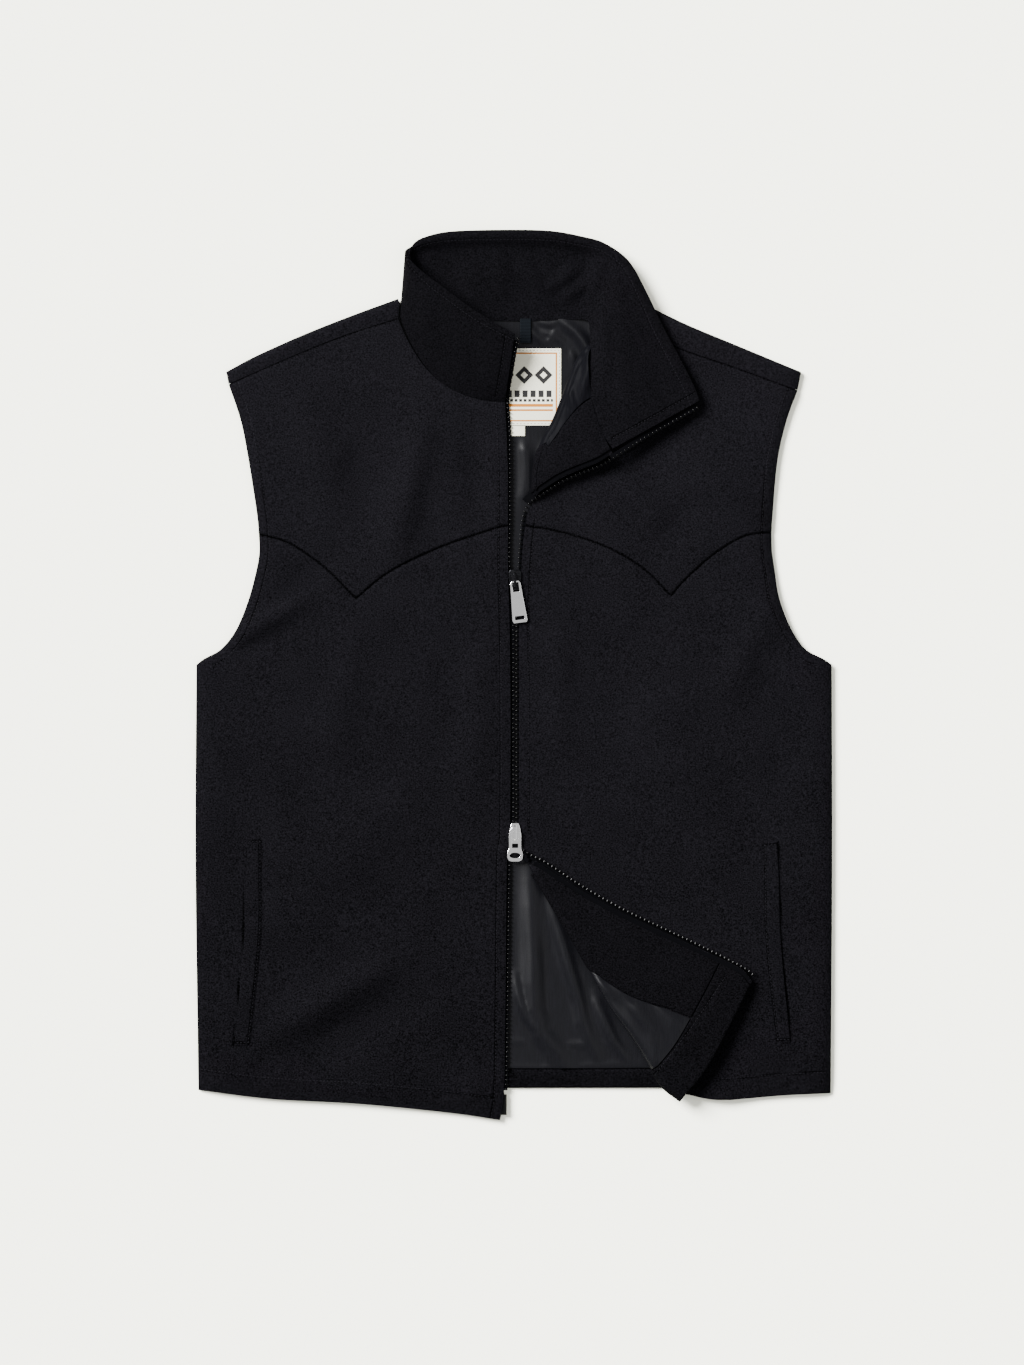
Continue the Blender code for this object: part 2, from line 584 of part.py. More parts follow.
def make_right_front(wool, parts):
    """Right front and right yoke, flat on the back."""
    us = panel_columns()
    side, hole = np.linspace(0, 1, 9), np.linspace(0, 1, 6)
    vs = np.concatenate([FRONT_PIT_SHARE * side,
                         FRONT_PIT_SHARE + (1 - FRONT_PIT_SHARE) * hole[1:]])
    seam = chained(YOKE_OUTER_RIGHT, OUTER_COLUMNS, YOKE_INNER_RIGHT, INNER_COLUMNS)
    start = chained(SIDE_RIGHT, side, ARMHOLE_LOW_RIGHT, hole)
    flat = patch(along(HEM_RIGHT, us), seam, start, along(FRONT_EDGE_RIGHT, vs), us, vs)
    front = draw_in(laid(flat, np.full(flat.shape[:2], FRONT_Z)), "top")
    cloth("front_right", [front], WOOL, wool, parts)

    vs = np.linspace(0, 1, 8)
    top = chained(SHOULDER_SEAM_RIGHT, OUTER_COLUMNS, NECK_RIGHT, INNER_COLUMNS)
    start = along(ARMHOLE_TOP_RIGHT, vs)
    flat = patch(seam, top, start, along(YOKE_EDGE_RIGHT, vs), us, vs)
    beyond = np.clip((us - POINT_SHARE) / (1 - POINT_SHARE) * 3, 0, 1)
    rise = FRONT_Z + NECK_RISE * vs[:, None] ** 3 * beyond[None]
    yoke = draw_in(draw_in(laid(flat, rise), "bottom"), "top")
    cloth("yoke_right", [yoke], WOOL, wool, parts)


def make_left_front(wool, facing, satin, parts):
    """Left front with its folded hem corner, and left yoke with its turned neck corner."""
    us = panel_columns()
    near_edge = np.clip((us - LIP_BLEND[0]) / (LIP_BLEND[1] - LIP_BLEND[0]), 0, 1) ** 2
    seam = chained(YOKE_OUTER_LEFT, OUTER_COLUMNS, YOKE_INNER_LEFT, INNER_COLUMNS)

    corner = TurnedCorner(HEM_FOLD, HEM_FREE_EDGE, HEM_LAST_ROW, HEM_SHARES)
    vs = hem_corner_shares(1 - corner.shares[::-1])
    pit = len(corner.shares) + ROWS_TO_PIT
    start = chained(SIDE_LEFT, vs[:pit + 1] / vs[pit],
                    ARMHOLE_LOW_LEFT, (vs[pit:] - vs[pit]) / (1 - vs[pit]))
    lips = corner.lower_lip[::-1]
    edge = along((tuple(lips[-1][:2]), *FRONT_EDGE_LEFT), np.linspace(0, 1, PLAIN_ROWS + 1))
    end = np.vstack([lips[:, :2], edge[1:]])
    end_z = np.concatenate([lips[:, 2], np.full(PLAIN_ROWS, FRONT_Z)])
    hem = along((*HEM_LEFT, tuple(end[0])), us)
    flat = patch(hem, seam, start, end, us, vs)
    inner = FRONT_Z + (end_z - FRONT_Z)[:, None] * near_edge[None]
    front = draw_in(laid(flat, inner), "top")
    cloth("front_left", [front, corner.wool()], WOOL, wool, parts)
    face_corner(corner, "hem", HEM_FACING_SEAM, HEM_BAND_SHARE, facing, satin, parts)

    corner = TurnedCorner(NECK_FOLD, NECK_FREE_EDGE, NECK_LAST_ROW, NECK_SHARES)
    turned = (corner.shares - corner.shares[0]) / (1 - corner.shares[0])
    vs = np.concatenate([[0.0, NECK_CORNER_START / 2],
                         NECK_CORNER_START + (1 - NECK_CORNER_START) * turned])
    lips = corner.lower_lip
    end = np.vstack([YOKE_EDGE_LEFT, lips[:, :2]])
    end_z = np.concatenate([[FRONT_Z, FRONT_Z], lips[:, 2]])
    behind = (*NECK_LEFT_BEHIND, tuple(lips[-1][:2]))
    top = chained(SHOULDER_SEAM_LEFT, OUTER_COLUMNS, behind, INNER_COLUMNS)
    flat = patch(seam, top, along(ARMHOLE_TOP_LEFT, vs), end, us, vs)
    inner = FRONT_Z + (end_z - FRONT_Z)[:, None] * near_edge[None]
    yoke = draw_in(laid(flat, inner), "bottom")
    draw_in(yoke[:, :9], "top")
    cloth("yoke_left", [yoke, corner.wool()], WOOL, wool, parts)
    face_corner(corner, "neck", NECK_FACING_SEAM, 1.0, facing, satin, parts)


def face_corner(corner, where, seam_table, band_share, facing, satin, parts):
    """Facing, lining and, at the hem, the turned-up band on the inside of a corner."""
    shares, crossings = np.array(seam_table).T
    facing_out = WOOL / 2 + TURNED_GAP + FACING_WOOL / 2
    satin_out = WOOL / 2 + TURNED_GAP + SATIN / 2
    top_share = band_share - (BAND_GAP_SHARE if band_share < 1 else 0.0)
    bend = corner.places[np.abs(corner.places) <= 1]
    steps = sorted({*corner.shares, *np.interp(bend, crossings[1:], shares[1:])})
    rows = shares_between(steps, corner.shares[0] + FACING_START, top_share)

    def seam_place(share, side):
        place = float(np.interp(share, shares, crossings))
        return place + side * (BEND_SEAM_GAP if place < 1 else LIMB_SEAM_GAP)

    grid = corner.ply(rows, lambda s: seam_place(s, 1), lambda s: FACING_END, facing_out)
    cloth(f"facing_left_{where}", [grid], FACING_WOOL, facing, parts)
    first = float(np.interp(LINING_START, crossings[1:], shares[1:]))
    rows = shares_between(steps, first, top_share)
    grid = corner.ply(rows, lambda s: -2.0, lambda s: seam_place(s, -1), satin_out)
    cloth(f"front_lining_left_{where}", [grid], SATIN, satin, parts)
    if band_share < 1:
        rows = shares_between(corner.shares, band_share + BAND_GAP_SHARE, 1.0)
        grid = corner.ply(rows, lambda s: -2.0, lambda s: FACING_END, facing_out)
        cloth("hem_band_left", [grid], FACING_WOOL, facing, parts)


def make_collar(wool, facing, parts):
    """Stand collar: outer wool and facing, one each side of a surface through stations."""
    stations = smooth(COLLAR, 2)
    seam, rim, crown = stations[:, 0:3], stations[:, 3:6], stations[:, 6]
    rows = []
    for share in np.linspace(0, 1, COLLAR_ROWS + 1):
        row = seam + (rim - seam) * share
        row[:, 2] += crown * 4 * share * (1 - share)
        rows.append(row)
    middle = np.array(rows)
    inside = normals(middle, COLLAR_FLAT_AT)
    outer = middle - inside * (PLY_GAP + WOOL) / 2
    cloth("collar", [outer], WOOL, wool, parts)
    inner = middle + inside * (PLY_GAP + FACING_WOOL) / 2
    cloth("collar_facing", [inner], FACING_WOOL, facing, parts)


def make_trimmings(wool, label, loop, parts):
    """Pocket welts, label, size tab and hanger loop."""
    height = FRONT_Z + WOOL / 2 + PLY_GAP + WELT_WOOL / 2
    shares = np.linspace(0, 1, 9)
    for name, mouth, sewn in (("welt_right", WELT_RIGHT_MOUTH, WELT_RIGHT_SEWN),
                              ("welt_left", WELT_LEFT_MOUTH, WELT_LEFT_SEWN)):
        strip = np.array([along(mouth, shares), along(sewn, shares)])
        cloth(name, [raised(strip, height)], WELT_WOOL, wool, parts)
    for name, box, height, thick, material in (
            ("label", LABEL_BOX, LABEL_Z, LABEL_CLOTH, label),
            ("size_tab", SIZE_TAB_BOX, LABEL_Z, LABEL_CLOTH, label),
            ("hanger_loop", LOOP_BOX, LOOP_Z, LOOP_CLOTH, loop)):
        span = (height - thick / 2, height + thick / 2)
        slab(name, box_outline(*box), span, material, parts)


def make_chain(name, path, material, parts):
    """One side's zip teeth as a plain round strip along the edge."""
    points = along(path, np.linspace(0, 1, CHAIN_STATIONS))
    curve = bpy.data.curves.new(name, "CURVE")
    curve.dimensions = "3D"
    curve.bevel_depth = CHAIN_RADIUS * MM
    curve.bevel_resolution = 1
    curve.use_fill_caps = True
    spline = curve.splines.new("POLY")
    spline.points.add(len(points) - 1)
    for spot, point in zip(spline.points, points):
        spot.co = (*(point * MM), 1.0)
    thing = bpy.data.objects.new(name, curve)
    curve.materials.append(material)
    parts.objects.link(thing)
    weld = thing.modifiers.new("Weld", "WELD")
    weld.merge_threshold = CHAIN_WELD * MM
    return thing


def make_slider(name, place, turned, metal, parts, cutters):
    """Zip slider: two plates round the chain, the post between them and the bail."""
    outline = mirrored_outline(SLIDER_HALF)
    body = slab(name, outline, TOP_PLATE, metal, parts)
    under = slab(f"{name}_under", outline, UNDER_PLATE, metal, parts)
    post = slab(f"{name}_post", box_outline(-POST_HALF_WIDTH, POST_SPAN[0],
                                            POST_HALF_WIDTH, POST_SPAN[1]),
                (UNDER_PLATE[1] - PLATE_BITE, TOP_PLATE[0] + PLATE_BITE), metal, parts)
    bail = slab(f"{name}_bail", BAIL, (-BAIL_WIDTH / 2, BAIL_WIDTH / 2), metal, parts, True)
    matrix = Matrix.Translation(Vector((*place, 0)) * MM)
    if turned:
        matrix = matrix @ Matrix.Rotation(math.pi, 4, "Z")
    for thing in (body, under, post, bail):
        thing.data.transform(matrix)
    for tool in (post, under, bail):
        combine(body, tool, "UNION", cutters)
    return body


def make_pull(name, half, holes, hinge, turn, metal, parts, cutters):
    """Pull tab, flat under its hinge, with its origin on the hinge."""
    span = (-PULL_THICK / 2, PULL_THICK / 2)
    tab = slab(name, mirrored_outline(half), span, metal, parts)
    deep = (-PULL_THICK, PULL_THICK)
    matrix = Matrix.Translation(Vector((*hinge, PULL_Z)) * MM) @ Matrix.Rotation(turn, 4, "Z")
    for number, outline in enumerate(holes):
        hole = slab(f"{name}_hole_{number}", outline, deep, metal, parts)
        hole.data.transform(matrix)
        combine(tab, hole, "DIFFERENCE", cutters)
    tab.matrix_world = matrix
    return tab


def make_zip(teeth, metal, dark_metal, parts, cutters):
    """Chains, insertion pin, sliders and pull tabs of the two-way zip."""
    make_chain("zip_chain_right", CHAIN_RIGHT, teeth, parts)
    make_chain("zip_chain_left", CHAIN_LEFT, teeth, parts)
    slab("zip_pin", box_outline(*PIN_BOX), PIN_Z, teeth, parts)
    make_slider("slider_top", SLIDER_TOP_AT, False, dark_metal, parts, cutters)
    make_slider("slider_low", SLIDER_LOW_AT, True, metal, parts, cutters)
    make_pull("pull_top", PULL_TOP_HALF, (box_outline(*PULL_TOP_EYE),
                                          box_outline(*PULL_TOP_SLOT)),
              PULL_TOP_HINGE, PULL_TOP_TURN, metal, parts, cutters)
    width, height, centre = PULL_LOW_RING
    ring = [(width * math.cos(angle), centre + height * math.sin(angle))
            for angle in np.linspace(0, 2 * math.pi, 16, endpoint=False)]
    make_pull("pull_low", PULL_LOW_HALF, (box_outline(*PULL_LOW_EYE), ring),
              PULL_LOW_HINGE, 0.0, metal, parts, cutters)


def main():
    for thing in list(bpy.data.objects):
        bpy.data.objects.remove(thing, do_unlink=True)
    parts = bpy.data.collections.new("western_vest")
    cutters = bpy.data.collections.new("cutters")
    for collection in (parts, cutters):
        bpy.context.scene.collection.children.link(collection)

    wool = principled("wool_cloth", (0.012, 0.012, 0.017), 0.9)
    facing = principled("wool_inside", (0.013, 0.013, 0.017), 0.9)
    satin = principled("satin_lining", (0.035, 0.038, 0.044), 0.35)
    label = principled("woven_label", (0.75, 0.71, 0.60), 0.8)
    loop = principled("ribbed_tape", (0.02, 0.03, 0.05), 0.7)
    teeth = principled("moulded_teeth", (0.01, 0.01, 0.012), 0.3)
    metal = principled("nickel_plate", (0.72, 0.72, 0.72), 0.25, 1.0)
    dark_metal = principled("black_nickel", (0.08, 0.08, 0.09), 0.3, 1.0)

    make_back(wool, satin, facing, parts)
    make_right_front(wool, parts)
    make_left_front(wool, facing, satin, parts)
    make_collar(wool, facing, parts)
    make_trimmings(wool, label, loop, parts)
    make_zip(teeth, metal, dark_metal, parts, cutters)
    bpy.context.view_layer.update()


if __name__ == "__main__":
    main()
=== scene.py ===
"""A western vest in dark wool, laid flat with its front up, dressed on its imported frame.

Left and right are the wearer's, so the right front lies at -X and the collar points to +Y.
Every cloth piece follows the middle surface of the frame's solid, more finely, with its own
folds, stitched edges and weave, and is a closed wall. Lengths in the tables are millimetres,
apart from those whose comment says metres.
"""

import math

import bmesh
import bpy
import numpy as np
from bpy.props import FloatProperty, FloatVectorProperty, PointerProperty
from mathutils import Matrix, Vector
from mathutils.bvhtree import BVHTree


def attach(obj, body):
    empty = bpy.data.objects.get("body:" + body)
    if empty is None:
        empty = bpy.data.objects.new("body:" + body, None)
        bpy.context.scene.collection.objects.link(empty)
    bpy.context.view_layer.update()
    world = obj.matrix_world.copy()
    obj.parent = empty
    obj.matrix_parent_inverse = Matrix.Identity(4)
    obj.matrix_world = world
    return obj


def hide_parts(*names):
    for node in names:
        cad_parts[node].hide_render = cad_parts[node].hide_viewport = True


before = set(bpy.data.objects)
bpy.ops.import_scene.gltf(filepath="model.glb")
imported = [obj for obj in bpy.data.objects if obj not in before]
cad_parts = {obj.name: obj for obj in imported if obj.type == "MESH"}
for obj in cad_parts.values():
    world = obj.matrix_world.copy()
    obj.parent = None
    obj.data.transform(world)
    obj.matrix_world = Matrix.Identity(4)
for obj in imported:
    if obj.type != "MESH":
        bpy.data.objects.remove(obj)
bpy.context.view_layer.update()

bl_info = {
    "name": "Western Vest Dresser",
    "version": (1, 0, 0),
    "blender": (4, 5, 0),
    "location": "View3D > Sidebar > Vest",
    "description": "Builds the cloth, sewing, zip and finishes of a western vest laid flat",
    "category": "Object",
}

MM = 0.001
TINY = 1e-9
UP = Vector((0, 0, 1))

# Cloth thicknesses and gaps
WOOL = 2.2
FACING_WOOL = 2.0
SATIN = 1.0
WELT_WOOL = 1.2
LABEL_CLOTH = 0.6
LOOP_CLOTH = 1.2
PLY_GAP = 0.3
SEAM_GAP = 0.45
TURNED_GAP = 0.45
# Points this close are one, in a mesh and on the left yoke's edge
MERGE = 0.02
MERGE_EDGE = 0.05

# Heights of the middle surfaces above the table
BACK_Z = WOOL / 2
LINING_Z = WOOL + PLY_GAP + SATIN / 2
BAND_Z = WOOL + PLY_GAP + FACING_WOOL / 2
LABEL_Z = LINING_Z + SATIN / 2 + PLY_GAP + LABEL_CLOTH / 2
LOOP_Z = LINING_Z + SATIN / 2 + PLY_GAP + LOOP_CLOTH / 2
SIDE_EDGE_Z = WOOL + PLY_GAP + WOOL / 2
FRONT_Z = 7.3
# The right yoke's rise to the neck: height, reach beyond its point and power
NECK_RISE = 1.3
NECK_RISE_REACH = 3
NECK_RISE_POWER = 3
# Distance over which a panel rises from its side seam
EDGE_ROLL = 6.0

# Outlines, each a row of x and y
SIDE_RIGHT = ((-277.2, -364.8), (-279.8, -162.4), (-279.0, 9.2))
SIDE_LEFT = ((278.1, -367.4), (279.4, -162.4), (279.0, 9.2))
ARMHOLE_LOW_RIGHT = (
    (-279.0, 9.2), (-271.9, 14.5), (-257.8, 22.4), (-243.8, 40.0), (-233.2, 66.4),
    (-226.2, 92.8), (-223.5, 110.0), (-224.2, 124.5),
)
ARMHOLE_LOW_LEFT = (
    (279.0, 9.2), (271.0, 14.5), (256.1, 22.4), (243.8, 40.0), (233.2, 66.4),
    (228.8, 92.8), (226.4, 110.0), (226.0, 126.0),
)
ARMHOLE_TOP_RIGHT = (
    (-224.2, 124.5), (-225.8, 142.0), (-233.2, 189.6), (-240.2, 224.8), (-250.8, 256.5),
)
ARMHOLE_TOP_LEFT = (
    (226.0, 126.0), (227.0, 142.0), (231.4, 189.6), (239.4, 224.8), (249.0, 251.2),
)
SHOULDER_FOLD_RIGHT = (
    (-253.4, 267.1), (-227.0, 281.2), (-184.8, 300.1), (-142.6, 316.8), (-102.0, 331.6),
)
SHOULDER_FOLD_LEFT = (
    (252.6, 267.1), (195.4, 290.8), (153.1, 308.4), (121.4, 323.4), (101.0, 331.8),
)
SHOULDER_SEAM_RIGHT = (
    (-250.8, 256.5), (-205.9, 276.3), (-153.1, 297.9), (-102.0, 314.4),
)
SHOULDER_SEAM_LEFT = (
    (249.0, 251.2), (195.4, 271.0), (139.0, 290.8), (101.0, 312.0),
)
BACK_NECK = (
    (-102.0, 327.6), (-94.0, 325.6), (-81.0, 323.2), (-54.6, 317.2), (-12.3, 314.6),
    (27.3, 314.6), (50.0, 315.4), (66.0, 315.8), (82.0, 318.0), (101.0, 327.6),
)
BACK_HEM = ((-277.0, -362.5), (0.0, -363.0), (277.8, -362.5))
YOKE_OUTER_RIGHT = ((-224.2, 124.5), (-198.0, 116.6), (-168.1, 96.4), (-139.0, 67.8))
YOKE_INNER_RIGHT = (
    (-139.0, 67.8), (-110.0, 91.1), (-66.9, 112.2), (-18.5, 128.9), (-5.3, 132.0),
)
YOKE_OUTER_LEFT = (
    (226.0, 126.0), (203.3, 122.8), (176.0, 106.9), (149.6, 83.2), (138.6, 70.0),
)
YOKE_INNER_LEFT = (
    (138.6, 70.0), (113.5, 94.6), (81.8, 113.1), (41.4, 126.3), (10.1, 132.0),
)
HEM_RIGHT = (
    (-277.2, -364.8), (-213.8, -372.7), (-135.5, -377.1), (-55.4, -385.0), (-12.3, -391.2),
)
HEM_LEFT = ((278.1, -367.4), (235.0, -369.6), (181.3, -373.6))
FRONT_EDGE_RIGHT = (
    (-12.3, -391.2), (-8.8, -364.8), (-7.5, -285.6), (-6.2, -164.1), (-3.5, -136.0),
    (-3.1, -21.6), (-4.0, 48.8), (-5.3, 92.8), (-5.3, 132.0),
)
FRONT_EDGE_LEFT = (
    (5.3, -143.0), (4.4, -109.6), (4.4, -21.6), (4.4, 48.8), (6.2, 88.4),
    (7.9, 114.8), (10.1, 132.0),
)
YOKE_EDGE_LEFT = ((10.1, 132.0), (11.4, 141.0))
YOKE_EDGE_RIGHT = ((-5.3, 132.0), (-5.3, 172.0), (-6.2, 207.2), (-7.9, 242.4))
NECK_RIGHT = (
    (-102.0, 314.4), (-98.4, 305.0), (-92.0, 292.4), (-79.2, 272.6), (-62.4, 256.6),
    (-42.8, 247.4), (-24.0, 243.2), (-7.9, 242.4),
)
NECK_LEFT_BEHIND = ((101.0, 312.0), (86.2, 304.0))

# Folded hem corner: x, y of the fold's outermost line, bend radius, height of its axis
HEM_FOLD = (
    (5.3, -156.4, 1.6, 8.9),
    (13.0, -172.0, 1.8, 9.0),
    (25.5, -191.4, 2.2, 9.4),
    (44.9, -224.0, 2.8, 10.1),
    (61.6, -253.0, 3.4, 10.7),
    (80.1, -288.2, 3.9, 11.4),
    (102.1, -319.0, 4.4, 12.0),
    (119.7, -347.2, 4.8, 13.0),
    (130.2, -363.0, 5.0, 13.4),
    (146.1, -375.3, 5.0, 13.6),
)
# Its free edge along the zip: x, y, height
HEM_FREE_EDGE = (
    (9.2, -157.0, 8.6), (27.3, -168.5, 9.6), (58.1, -187.9, 10.4), (93.3, -207.7, 10.8),
    (128.5, -224.4, 11.0), (163.7, -240.7, 11.4), (198.9, -257.4, 12.4), (209.5, -268.8, 13.2),
)
# The hem's own edge, from the fold to the tip: x, y, height
HEM_LAST_ROW = ((166.0, -350.7, 19.4), (179.0, -329.0, 19.0), (197.0, -294.4, 15.8))
HEM_SHARES = (0.05, 0.12, 0.22, 0.33, 0.44, 0.55, 0.66, 0.76, 0.853, 0.93, 1.0)
HEM_BAND_SHARE = 0.853
# Where the facing's inner seam crosses each share of the fold, as a place on the bend
HEM_FACING_SEAM = (
    (0.0, -2.0), (0.33, -2.0), (0.39, -1.0), (0.44, 0.0), (0.49, 1.0), (0.55, 1.10),
    (0.66, 1.24), (0.76, 1.38), (1.0, 1.6),
)

# Turned neck corner, with the same columns as the hem corner
NECK_FOLD = (
    (11.4, 147.4, 1.6, 8.9),
    (15.0, 163.2, 1.8, 9.2),
    (16.7, 185.2, 2.2, 9.8),
    (22.9, 207.2, 2.6, 10.5),
    (32.6, 224.8, 3.0, 11.2),
    (41.4, 246.8, 3.0, 12.0),
    (50.2, 270.6, 2.8, 12.5),
    (57.2, 284.0, 2.2, 12.2),
    (64.4, 292.0, 1.6, 11.8),
)
NECK_FREE_EDGE = (
    (15.0, 151.0, 9.4), (21.2, 160.0, 11.0), (30.7, 166.8, 13.2), (42.3, 174.2, 15.2),
    (57.5, 181.0, 17.2), (74.0, 187.6, 19.0), (86.8, 195.2, 20.3),
)
NECK_LAST_ROW = (
    (65.6, 281.0, 16.4), (66.0, 264.4, 18.4), (67.8, 246.8, 19.4), (73.0, 226.6, 20.2),
    (79.8, 210.0, 20.3),
)
NECK_SHARES = (0.08, 0.16, 0.26, 0.33, 0.40, 0.50, 0.60, 0.70, 0.85, 1.0)
NECK_FACING_SEAM = (
    (0.0, -2.0), (0.20, -2.0), (0.26, -1.0), (0.33, 0.0), (0.39, 1.0), (0.42, 1.2), (0.50, 1.22),
    (0.70, 1.33), (0.85, 1.4), (1.0, 1.46),
)
# Steps round a bend and across the turned cloth, and how far the cloth runs on under it
TURN_STEPS = 12
LIMB_STEPS = 26
UNDERLAP = 5.0
# The back's hem band: its ends in shares of the hem, its two edges above the hem, its points
# along and across, and the line above it along which shade is painted on the back
BAND_ENDS = (0.035, 0.965)
BAND_ROWS = (0.6, 14.2)
BAND_POINTS = (150, 8)
BAND_SHADE_Y = -347.4
BAND_SHADE_HALF = 270.0
# Gaps and ends of the layers on a turned corner, in places and in shares
BEND_SEAM_GAP = 0.045
LIMB_SEAM_GAP = 0.008
FACING_START = 0.03
LINING_START = -1.9
BAND_GAP_SHARE = 0.002
SHARE_STEP = 0.006

# Collar stations: neck seam x, y, z, then rim x, y, z, then the crown between them
COLLAR = (
    (-7.5, 244.2, 8.4, 0.9, 300.5, 27.0, 4.0),
    (-22.9, 245.1, 8.4, -15.0, 309.3, 26.0, 4.0),
    (-42.2, 250.4, 8.4, -37.0, 322.5, 25.0, 4.0),
    (-60.7, 260.0, 8.4, -57.2, 337.5, 24.0, 4.0),
    (-76.6, 275.9, 8.4, -73.9, 349.8, 23.0, 4.0),
    (-88.9, 295.2, 8.4, -84.4, 358.6, 22.0, 3.0),
    (-95.0, 309.8, 8.4, -91.8, 366.5, 20.0, 2.0),
    (-97.9, 320.4, 5.4, -93.6, 373.4, 12.5, 0.0),
    (-94.2, 328.8, 3.2, -88.4, 379.2, 6.0, 0.0),
    (-81.0, 324.3, 2.8, -77.2, 385.2, 4.4, 0.0),
    (-54.6, 318.1, 2.6, -54.6, 389.8, 3.4, 0.0),
    (-12.3, 315.5, 2.6, -7.9, 391.2, 3.0, 0.0),
    (27.3, 315.5, 2.6, 31.7, 390.3, 3.4, 0.0),
    (54.6, 316.4, 3.0, 61.5, 385.0, 4.6, 0.0),
    (67.0, 314.4, 8.0, 80.1, 379.2, 7.0, 1.0),
    (69.5, 301.4, 15.0, 100.3, 363.9, 9.5, 4.0),
    (69.3, 275.9, 19.4, 115.3, 337.5, 11.5, 6.0),
    (70.0, 251.2, 20.8, 130.2, 306.7, 12.5, 6.0),
    (75.2, 228.4, 21.4, 147.8, 274.1, 14.0, 5.0),
    (82.3, 213.4, 21.6, 157.5, 254.8, 15.0, 4.0),
    (90.2, 201.5, 21.6, 162.8, 241.6, 16.0, 3.0),
)
COLLAR_PARTS = 10

# Pocket welts: x, y of the mouth side and of the stitched side
WELT_RIGHT_MOUTH = ((-234.1, -143.0), (-235.8, -180.0), (-237.6, -232.8), (-246.0, -326.0))
WELT_RIGHT_SEWN = ((-221.8, -143.0), (-221.8, -180.0), (-222.6, -232.8), (-232.3, -326.0))
WELT_LEFT_MOUTH = ((231.4, -145.6), (233.2, -180.0), (235.0, -235.4), (243.3, -323.4))
WELT_LEFT_SEWN = ((219.1, -146.5), (219.6, -181.7), (220.9, -235.4), (230.6, -323.4))

# Trimmings on the back lining: left, bottom, right, top
LABEL_BOX = (-40.5, 220.0, 41.5, 287.8)
SIZE_TAB_BOX = (-6.0, 210.8, 9.7, 219.6)
LOOP_BOX = (5.3, 292.6, 15.0, 314.0)

# Zip chain paths: x, y, z
CHAIN_RIGHT = (
    (-7.2, -367.0, 6.2), (-6.0, -351.6, 6.2), (-5.0, -285.6, 6.2), (-3.4, -164.1, 6.2),
    (-2.6, -149.2, 6.2), (-1.6, -142.0, 6.2), (0.0, -130.0, 6.2), (0.0, -120.0, 6.2),
    (0.0, 60.0, 6.2), (0.0, 73.5, 6.2), (-1.8, 85.8, 6.2), (-3.3, 96.4, 6.2),
    (-3.3, 119.2, 6.2), (-2.8, 136.8, 6.2), (-3.2, 207.2, 6.4), (-5.0, 238.4, 7.0),
    (-4.2, 252.0, 12.4), (-1.4, 268.8, 19.8), (1.4, 285.0, 24.8), (3.8, 297.9, 27.2),
)
CHAIN_LEFT = (
    (211.5, -264.3, 14.6), (201.5, -256.6, 13.8), (165.4, -238.4, 12.8), (130.2, -221.8, 12.4),
    (95.0, -205.0, 12.2), (59.8, -185.2, 11.8), (29.0, -164.9, 11.2), (16.0, -158.5, 11.0),
    (11.0, -155.5, 10.3), (7.0, -153.0, 8.8), (4.4, -149.8, 7.2), (3.6, -146.0, 6.6),
    (2.8, -133.0, 6.2), (2.8, -120.0, 6.2), (2.8, 60.0, 6.2), (2.8, 73.5, 6.2),
    (3.9, 88.4, 6.2), (5.0, 106.0, 6.2), (6.8, 128.0, 6.2), (8.6, 141.0, 6.3),
    (12.0, 149.0, 7.8), (16.5, 153.6, 10.2), (22.5, 157.6, 12.4), (32.0, 164.0, 14.2),
    (43.5, 171.0, 16.4), (59.5, 178.0, 18.6), (76.5, 184.8, 20.6), (92.4, 194.2, 21.8),
    (119.7, 211.6, 20.6), (146.1, 226.4, 18.2), (162.2, 235.8, 16.6),
)
PIN_BOX = (-12.0, -386.8, -6.4, -368.4)
PIN_Z = (3.7, 5.9)

# Shares of a panel's length or width: the yoke's point, the back's two sides, the armpits
# and the turned corners
POINT_SHARE = 0.42
BACK_SIDE_SHARE = 0.3
BACK_PIT_SHARE = 0.58
FRONT_PIT_SHARE = 0.76
HEM_CORNER_SHARE = 0.44
LEFT_PIT_SHARE = 0.751
NECK_CORNER_START = 0.15
# A left panel takes its lip's height over these shares of its width
LIP_BLEND = (0.45, 0.70)
# A left panel is stiff where its edge stands this much above its even height
LIP_STAND = 0.6
# The back's wrap over a shoulder: steps round the turn, then shares of the way to the seam
SHOULDER_STEPS = 12
SHOULDER_SHARES = (0.3, 0.6, 0.8, 0.93, 1.0)
# How far a front hem hangs down, over which distance, and the tape seen beside a facing
HEM_DROOP = 2.6
DROOP_REACH = 12.0
TAPE_SEEN = 4.6
# Sewing across the collar's two ends, and along the band of the turned hem corner
COLLAR_END_RIGHT = ((-15.6, 246.5), (-11.0, 272.0), (-6.8, 300.0))
COLLAR_END_LEFT = ((86.6, 208.8), (124.0, 229.0), (159.4, 248.8))
BAND_LINE = ((186.6, -264.4), (154.9, -311.5), (123.2, -352.5))

# The collar: its rim's sewing and its tuck under the seam in shares, its flattest station
RIM_STITCH = 0.9
COLLAR_TUCK = 0.045
COLLAR_FLAT_STATION = 11
# Gains on the fold tables and the slow waves, and the deepest trough
WOOL_RELIEF = 8.0
WOOL_TROUGH = 2.2
HEM_RELIEF = 1.6
COLLAR_RELIEF = 2.6
SATIN_RELIEF = 1.6
HEM_SATIN_RELIEF = 2.6
COLLAR_WAVES = 0.5
LINING_WAVES = 0.4
